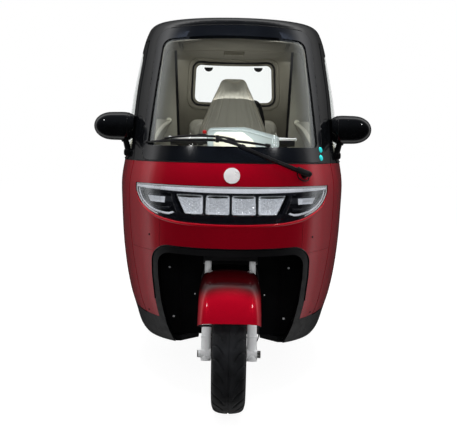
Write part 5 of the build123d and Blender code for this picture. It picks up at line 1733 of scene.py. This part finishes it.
for z in (352, 362):
    pts, nor = [], []
    for x in range(-380, 381, 20):
        p, nn = TAIL.back(x, z)
        if p is not None and p.y > 780:
            pts.append(p)
            nor.append(nn)
    if len(pts) > 3:
        b.tube(pts, 2.6, 6, normals=nor)
b.done("body", "black_satin")
# tail lamp chambers: a grid of thin coloured cells standing on the lamp surface
TL = Skin("tail_lamps")
(tx0, ty0, tz0), (tx1, ty1, tz1) = [[t * 1000 for t in q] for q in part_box("tail_lamps")]
for tag, mat, z0, z1 in (("stop", "seg_red", 0.55, 0.93), ("turn", "amber", 0.33, 0.51), ("reverse", "white_lens", 0.08, 0.29)):
    b = Build("tail_lamp_" + tag)
    za, zb = tz0 + (tz1 - tz0) * z0, tz0 + (tz1 - tz0) * z1
    nz, nx = max(4, int((zb - za) / 5)), int((tx1 - 180) / 5)
    for s in (1, -1):
        grid = {}
        for i in range(nx + 1):
            for j in range(nz + 1):
                x, z = s * (180 + (tx1 - 180) * i / nx), za + (zb - za) * j / nz
                q, qn = TL.cast((x, 2500, z), (0, -1, 0))
                if q is not None and q.y > 500:
                    qn = qn if qn.y > 0 else -qn
                    if qn.y > 0.28:
                        grid[i, j] = (q, qn)
        used, verts, faces = {}, [], []
        for (i, j), (q, qn) in grid.items():
            near = [(i + a, j + c) for a in (-1, 0, 1) for c in (-1, 0, 1)]
            edge = sum(1 for k in near if k in grid) < 9 or j in (0, nz)
            ribbed = 0.5 * (i % 2)
            used[i, j] = len(verts)
            verts.append(q + qn * ((0.15 if edge else 1.6 + ribbed)))
        for (i, j) in grid:
            k = [(i, j), (i + 1, j), (i + 1, j + 1), (i, j + 1)]
            if all(c in grid for c in k):
                faces.append(tuple(used[c] for c in k))
        if faces:
            b.add(verts, faces)
    if b.f:
        b.done("body", mat, angle=50)

# doors: weather strip and lock; side markers and sill fixings
for s, side in ((1, "left"), (-1, "right")):
    SIDE = Skin("door_" + side, "door_frame_" + side, "door_glass_" + side, "door_handle_" + side)
    GL = Skin("door_glass_" + side)
    b = Build("door_weatherstrip_" + side)
    pts, nor = [], []
    for y in range(-470, 330, 14):
        p, nn = SIDE.side(s, y, 951, deepest=250)
        if p is not None:
            pts.append(p + nn * 0.6)
            nor.append(nn)
    if len(pts) > 6:
        pts, nor = pts[2:-2], nor[2:-2]
        b.sweep(pts, [(-4, -1), (-4, 1.4), (-1.5, 2.6), (2.5, 1.4), (4, -1)], normals=nor)
    b.done(side + "_door", "seal")
    b = Build("door_lock_" + side)
    (ax, ay, az), (bx, by, bz) = [[t * 1000 for t in q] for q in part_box("door_handle_" + side)]
    p, nn = SIDE.side(s, by + 26, (az + bz) / 2)
    if p is not None:
        b.lathe([(0, -1), (11, -1), (11.3, 1.6), (9.6, 2.8), (8, 2.0), (0, 2.0)], p, nn, 28)
        b.rbox(p + nn * 2.2, (2, 9, 1.4), 0.6, direction=nn, up=(0, 0, 1), segs=2)
    b.done(side + "_door", "zinc")
    b = Build("side_marker_" + side)
    SK = Skin("side_sills", "wing_" + side, "rear_body")
    p, nn = SK.side(s, 560, 520)
    if p is not None:
        b.rbox(p + nn * 1.2, (64, 20, 6), 2.6, direction=nn, up=(0, 0, 1), segs=3)
    b.done("body", "amber")
    b = Build("sill_fixings_" + side)
    for y in (-420, -250, -80, 90, 260):
        p, nn = SK.side(s, y, 268)
        if p is not None:
            b.bolt(p, nn, 4.4, 2.6, kind="pan", washer=False)
    b.done("body", "zinc")

# rubber behind the gaps round the doors
for s, side in ((1, "left"), (-1, "right")):
    BODYSIDE = Skin("roof_shell", "rear_body")
    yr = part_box("door_" + side)[1][1] * 1000
    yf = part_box("door_frame_" + side)[1][1] * 1000
    b = Build("door_gap_seal_" + side)
    pts, nor = [], []
    for k in range(62):
        z = 300 + 1195 * k / 61
        y = yr if z < 950 else yf
        q, qn = BODYSIDE.side(s, y + 7, z, deepest=200)
        if q is not None:
            pts.append(V((q.x - s * 15, y + 1.5, z)))
            nor.append(V((s, 0, 0)))
    if len(pts) > 8:
        b.tube(pts, 7.5, 8, normals=nor)
    b.done("body", "seal")

# rear dampers with wound springs
b = Build("rear_damper_units")
(dx0, dy0, dz0), (dx1, dy1, dz1) = [[t * 1000 for t in q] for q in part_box("rear_shocks")]
yc = (dy0 + dy1) / 2
for s in (1, -1):
    o = (s * 255, yc, dz0)
    H = dz1 - dz0
    b.lathe([(0, 0), (10, 0), (12, 6), (12, 16), (17, 20), (17, H * 0.52), (15, H * 0.54), (15, H * 0.56), (8, H * 0.57),
             (8, H - 14), (13, H - 12), (13, H - 2), (10, H), (0, H)], o, (0, 0, 1), 28)
    b.lathe([(17, 22), (28, 22), (28.5, 25), (17, 28)], o, (0, 0, 1), 28)
    b.lathe([(8, H - 24), (28, H - 24), (28.5, H - 20), (8, H - 18)], o, (0, 0, 1), 28)
b.done("body", "steel_black", replaces=("rear_shocks",))
b = Build("rear_springs")
for s in (1, -1):
    H = dz1 - dz0
    pts, nor = [], []
    turns, seg = 7.5, 22
    for k in range(int(turns * seg) + 1):
        t = 2 * math.pi * k / seg
        d = V((math.cos(t), math.sin(t), 0))
        pts.append(V((s * 255, yc, dz0 + 31 + (H - 60) * k / (turns * seg))) + d * 22.6)
        nor.append(d)
    b.tube(pts, 4.4, 8, normals=nor)
b.done("body", "spring_red")

# rear axle details: motor fins, cables
(ex0, ey0, ez0), (ex1, ey1, ez1) = [[t * 1000 for t in q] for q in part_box("rear_axle")]
b = Build("axle_details")
AXLE = Skin("rear_axle")
for k in range(9):
    x = -84 + 24 * k
    ring = []
    for j in range(28):
        a = math.pi * 2 * j / 28
        d = V((0, math.cos(a), math.sin(a)))
        q, qn, i, dist = AXLE.tree.ray_cast(V((x, (ey0 + ey0 + 146) / 2, ez0 + 82)) + d * 400, -d)
        if q is not None and q.y < ey0 + 60:
            ring.append(q + d * 1.0)
    if len(ring) > 4:
        ring.sort(key=lambda w: math.atan2(w.z - ez0 - 82, -(w.y - ey0 - 73)))
        b.tube(ring, 2.6, 6)
b.done("body", "iron")
b = Build("power_cables")
for k in range(3):
    b.tube(smooth_path([(-52 + 26 * k, 470, 300), (-52 + 26 * k, 500, 318), (-50 + 24 * k, 528, 312), (-44 + 22 * k, ey0 + 14, 292)], 24), 5.2, 8)
b.done("body", "rubber")

# battery straps and terminals
(bx0, by0, bz0), (bx1, by1, bz1) = [[t * 1000 for t in q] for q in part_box("battery_box")]
b = Build("battery_straps")
for y in (by0 + (by1 - by0) * 0.28, by0 + (by1 - by0) * 0.72):
    strap(b, [V((bx0 - 1.4, y, bz0 + 6)), V((bx0 - 1.4, y, bz1 - 4)), V((bx0 + 4, y, bz1 + 1.4)), V((bx1 - 4, y, bz1 + 1.4)), V((bx1 + 1.4, y, bz1 - 4)), V((bx1 + 1.4, y, bz0 + 6))],
          28, [V((-1, 0, 0)), V((-1, 0, 0.4)), V((-0.4, 0, 1)), V((0.4, 0, 1)), V((1, 0, 0.4)), V((1, 0, 0))])
b.done("body", "belt")
b = Build("battery_terminals")
for x, m_ in ((bx0 + 60, 0), (bx1 - 60, 1)):
    b.lathe([(0, -1), (13, -1), (13, 4), (8, 6), (8, 10), (0, 10)], (x, by0 + 30, bz1), (0, 0, 1), 20, mat=m_)
b.done("body", ["zinc", "red_plain"])

# floor mat ribs and seat base fixings
FLOOR = Skin("floor_pan")
b = Build("floor_ribs")
for k in range(11):
    x = -250 + 50 * k
    pts = []
    for y in range(-440, -150, 24):
        q, qn = FLOOR.cast((x, y, 400), (0, 0, -1))
        if q is not None and qn.z > 0.7:
            pts.append(q + V((0, 0, 0.4)))
    if len(pts) > 3:
        b.tube(pts, 3.2, 6, normals=[V((0, 0, 1))] * len(pts), flat=0.7)
b.done("body", "floor_mat")
b = Build("seat_base_fixings")
for s in (1, -1):
    for y in (-60, 60, 180):
        b.bolt((s * 190, y, 300), (s, 0, 0), 5, 3.5, kind="hex")
        b.tube([V((s * 190.5, y - 26, 430)), V((s * 190.5, y + 26, 430))], 3, 6)
        b.tube([V((s * 190.5, y - 26, 446)), V((s * 190.5, y + 26, 446))], 3, 6)
        b.tube([V((s * 190.5, y - 26, 462)), V((s * 190.5, y + 26, 462))], 3, 6)
b.done("body", "black_satin")
FRAME = Skin("chassis_frame")
b = Build("frame_bolts")
for x in (-190, 190):
    for y in (-510, -130, 360, 520, 990):
        q, qn = FRAME.cast((x, y, 150), (0, 0, 1))
        if q is not None:
            b.bolt(q, (0, 0, -1), 6.5, 4, kind="hex")
b.done("body", "zinc")
b = Build("frame_loom")
b.tube(smooth_path([(150, -470, 262), (152, -300, 262), (150, -100, 262), (152, 100, 262), (150, 300, 262)], 50), 7, 8)
b.tube(smooth_path([(-150, -470, 262), (-152, -300, 262), (-150, -100, 262), (-152, 100, 262), (-150, 300, 262)], 50), 4, 8)
b.done("body", "rubber")


# ------------------------------------------------------------------ stage and lights
floor_mesh = bpy.data.meshes.new("floor")
floor_mesh.from_pydata([(-14, -14, 0), (14, -14, 0), (14, 14, 0), (-14, 14, 0)], [], [(0, 1, 2, 3)])
floor_obj = bpy.data.objects.new("floor", floor_mesh)
scene.collection.objects.link(floor_obj)
fm = bpy.data.materials.new("floor_paper")
fm.use_nodes = True
fnt = fm.node_tree
pb = fnt.nodes["Principled BSDF"]
pb.inputs["Roughness"].default_value = 0.9
pb.inputs["Specular IOR Level"].default_value = 0.05
lp = fnt.nodes.new("ShaderNodeLightPath")
ftc = fnt.nodes.new("ShaderNodeTexCoord")
fno = fnt.nodes.new("ShaderNodeTexNoise")
fno.inputs["Scale"].default_value = 3.0
fnt.links.new(ftc.outputs["Object"], fno.inputs["Vector"])
fmr = fnt.nodes.new("ShaderNodeMapRange")
fmr.inputs["To Min"].default_value = 0.20
fmr.inputs["To Max"].default_value = 0.215
fnt.links.new(fno.outputs["Fac"], fmr.inputs["Value"])
fcol = fnt.nodes.new("ShaderNodeCombineColor")
for c in ("Red", "Green", "Blue"):
    fnt.links.new(fmr.outputs["Result"], fcol.inputs[c])
fnt.links.new(fcol.outputs["Color"], pb.inputs["Base Color"])
em = fnt.nodes.new("ShaderNodeEmission")
em.inputs["Color"].default_value = (1, 1, 1, 1)
fmul = fnt.nodes.new("ShaderNodeMath")
fmul.operation = "MULTIPLY"
fmul.inputs[1].default_value = 0.93
fnt.links.new(lp.outputs["Is Camera Ray"], fmul.inputs[0])
fnt.links.new(fmul.outputs["Value"], em.inputs["Strength"])
addn = fnt.nodes.new("ShaderNodeAddShader")
fnt.links.new(pb.outputs["BSDF"], addn.inputs[0])
fnt.links.new(em.outputs["Emission"], addn.inputs[1])
fnt.links.new(addn.outputs["Shader"], fnt.nodes["Material Output"].inputs["Surface"])
floor_obj.data.materials.append(fm)
floor_obj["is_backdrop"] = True
floor_obj.visible_glossy = False

world = bpy.data.worlds.new("studio")
scene.world = world
world.use_nodes = True
wn = world.node_tree
bg = wn.nodes["Background"]
bg.inputs["Color"].default_value = (1, 1, 1, 1)
wtc = wn.nodes.new("ShaderNodeTexCoord")
sepv = wn.nodes.new("ShaderNodeSeparateXYZ")
wn.links.new(wtc.outputs["Generated"], sepv.inputs["Vector"])
ramp = wn.nodes.new("ShaderNodeValToRGB")
wmr = wn.nodes.new("ShaderNodeMapRange")
wmr.inputs["From Min"].default_value = -1.0
wmr.inputs["From Max"].default_value = 1.0
wn.links.new(sepv.outputs["Y"], wmr.inputs["Value"])
wn.links.new(wmr.outputs["Result"], ramp.inputs["Fac"])
els = ramp.color_ramp.elements
els[0].position, els[0].color = 0.30, (0.008, 0.008, 0.008, 1)
els[1].position, els[1].color = 1.0, (0.04, 0.04, 0.04, 1)
for pos, val in ((0.46, 0.014), (0.57, 0.22), (0.65, 1.15), (0.76, 0.34), (0.90, 0.07)):
    e = els.new(pos)
    e.color = (val, val, val, 1)
wlp = wn.nodes.new("ShaderNodeLightPath")


def wmixer(fac, low, high):
    n = wn.nodes.new("ShaderNodeMix")
    n.data_type = "RGBA"
    wn.links.new(fac, n.inputs["Factor"])
    for k, v in ((6, low), (7, high)):
        if isinstance(v, tuple):
            n.inputs[k].default_value = (*v, 1)
        else:
            wn.links.new(v, n.inputs[k])
    return n.outputs[2]


high_part = wn.nodes.new("ShaderNodeMapRange")
for k, v in (("From Min", 0.0), ("From Max", 0.6), ("To Min", 0.55), ("To Max", 1.0)):
    high_part.inputs[k].default_value = v
wn.links.new(sepv.outputs["Z"], high_part.inputs["Value"])
dimmed = wn.nodes.new("ShaderNodeVectorMath")
dimmed.operation = "SCALE"
wn.links.new(ramp.outputs["Color"], dimmed.inputs[0])
wn.links.new(high_part.outputs["Result"], dimmed.inputs["Scale"])
soft = wmixer(wlp.outputs["Is Glossy Ray"], (0.34, 0.34, 0.34), dimmed.outputs[0])
wn.links.new(wmixer(wlp.outputs["Is Camera Ray"], soft, (1.0, 1.0, 1.0)), bg.inputs["Color"])
bg.inputs["Strength"].default_value = 1.0


def area(name, loc, target, size, size_y, power, shape="RECTANGLE"):
    d = bpy.data.lights.new(name, "AREA")
    d.shape = shape
    d.size, d.size_y, d.energy = size, size_y, power
    o = bpy.data.objects.new(name, d)
    scene.collection.objects.link(o)
    o.location = loc
    o.rotation_euler = (Vector(target) - Vector(loc)).to_track_quat("-Z", "Y").to_euler()
    return o


area("top_box", (0, -0.75, 4.2), (0, -0.65, 0.8), 2.2, 1.1, 175).visible_glossy = False


def spot(name, loc, target, cone, blend, power, radius):
    d = bpy.data.lights.new(name, "SPOT")
    d.spot_size, d.spot_blend, d.energy, d.shadow_soft_size = math.radians(cone), blend, power, radius
    o = bpy.data.objects.new(name, d)
    scene.collection.objects.link(o)
    o.location = loc
    o.rotation_euler = (Vector(target) - Vector(loc)).to_track_quat("-Z", "Y").to_euler()
    o.visible_glossy = False
    return o


spot("cabin_key", (0.0, -3.3, 1.55), (0.0, -0.5, 1.22), 13.5, 0.35, 120, 0.12)
spot("hood_key", (0.0, -3.3, 1.6), (0.03, -0.6, 1.05), 6.5, 0.5, 170, 0.1)
spot("leg_fill", (0.0, -3.3, 0.55), (0.0, -0.8, 0.36), 13.0, 0.6, 70, 0.15)
spot("nose_fill", (0.0, -3.4, 1.9), (0.0, -0.8, 0.86), 20.0, 0.8, 80, 0.25)
area("left_spot", (-2.7, -2.1, 3.6), (0, -0.7, 0.9), 0.34, 0.34, 9)
area("right_spot", (2.7, -2.1, 3.6), (0, -0.7, 0.9), 0.34, 0.34, 9)
area("side_left", (-4.2, 0.6, 1.9), (0, 0.1, 0.8), 1.4, 1.4, 30).visible_glossy = False
area("side_right", (4.2, 0.6, 1.9), (0, 0.1, 0.8), 1.4, 1.4, 30).visible_glossy = False
area("back_fill", (0.0, 4.6, 2.9), (0, 0.6, 0.8), 1.8, 1.0, 45).visible_glossy = False
area("cabin_fill", (0.0, -0.52, 1.44), (0, 0.25, 1.12), 0.55, 0.12, 1.25).visible_glossy = False
area("bench_fill", (0.0, 0.50, 1.50), (0, 0.62, 0.8), 0.7, 0.2, 0.9).visible_glossy = False
area("roof_wash", (0.0, 0.42, 1.25), (0, 0.5, 1.6), 0.4, 0.3, 1.3).visible_glossy = False

low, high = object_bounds()
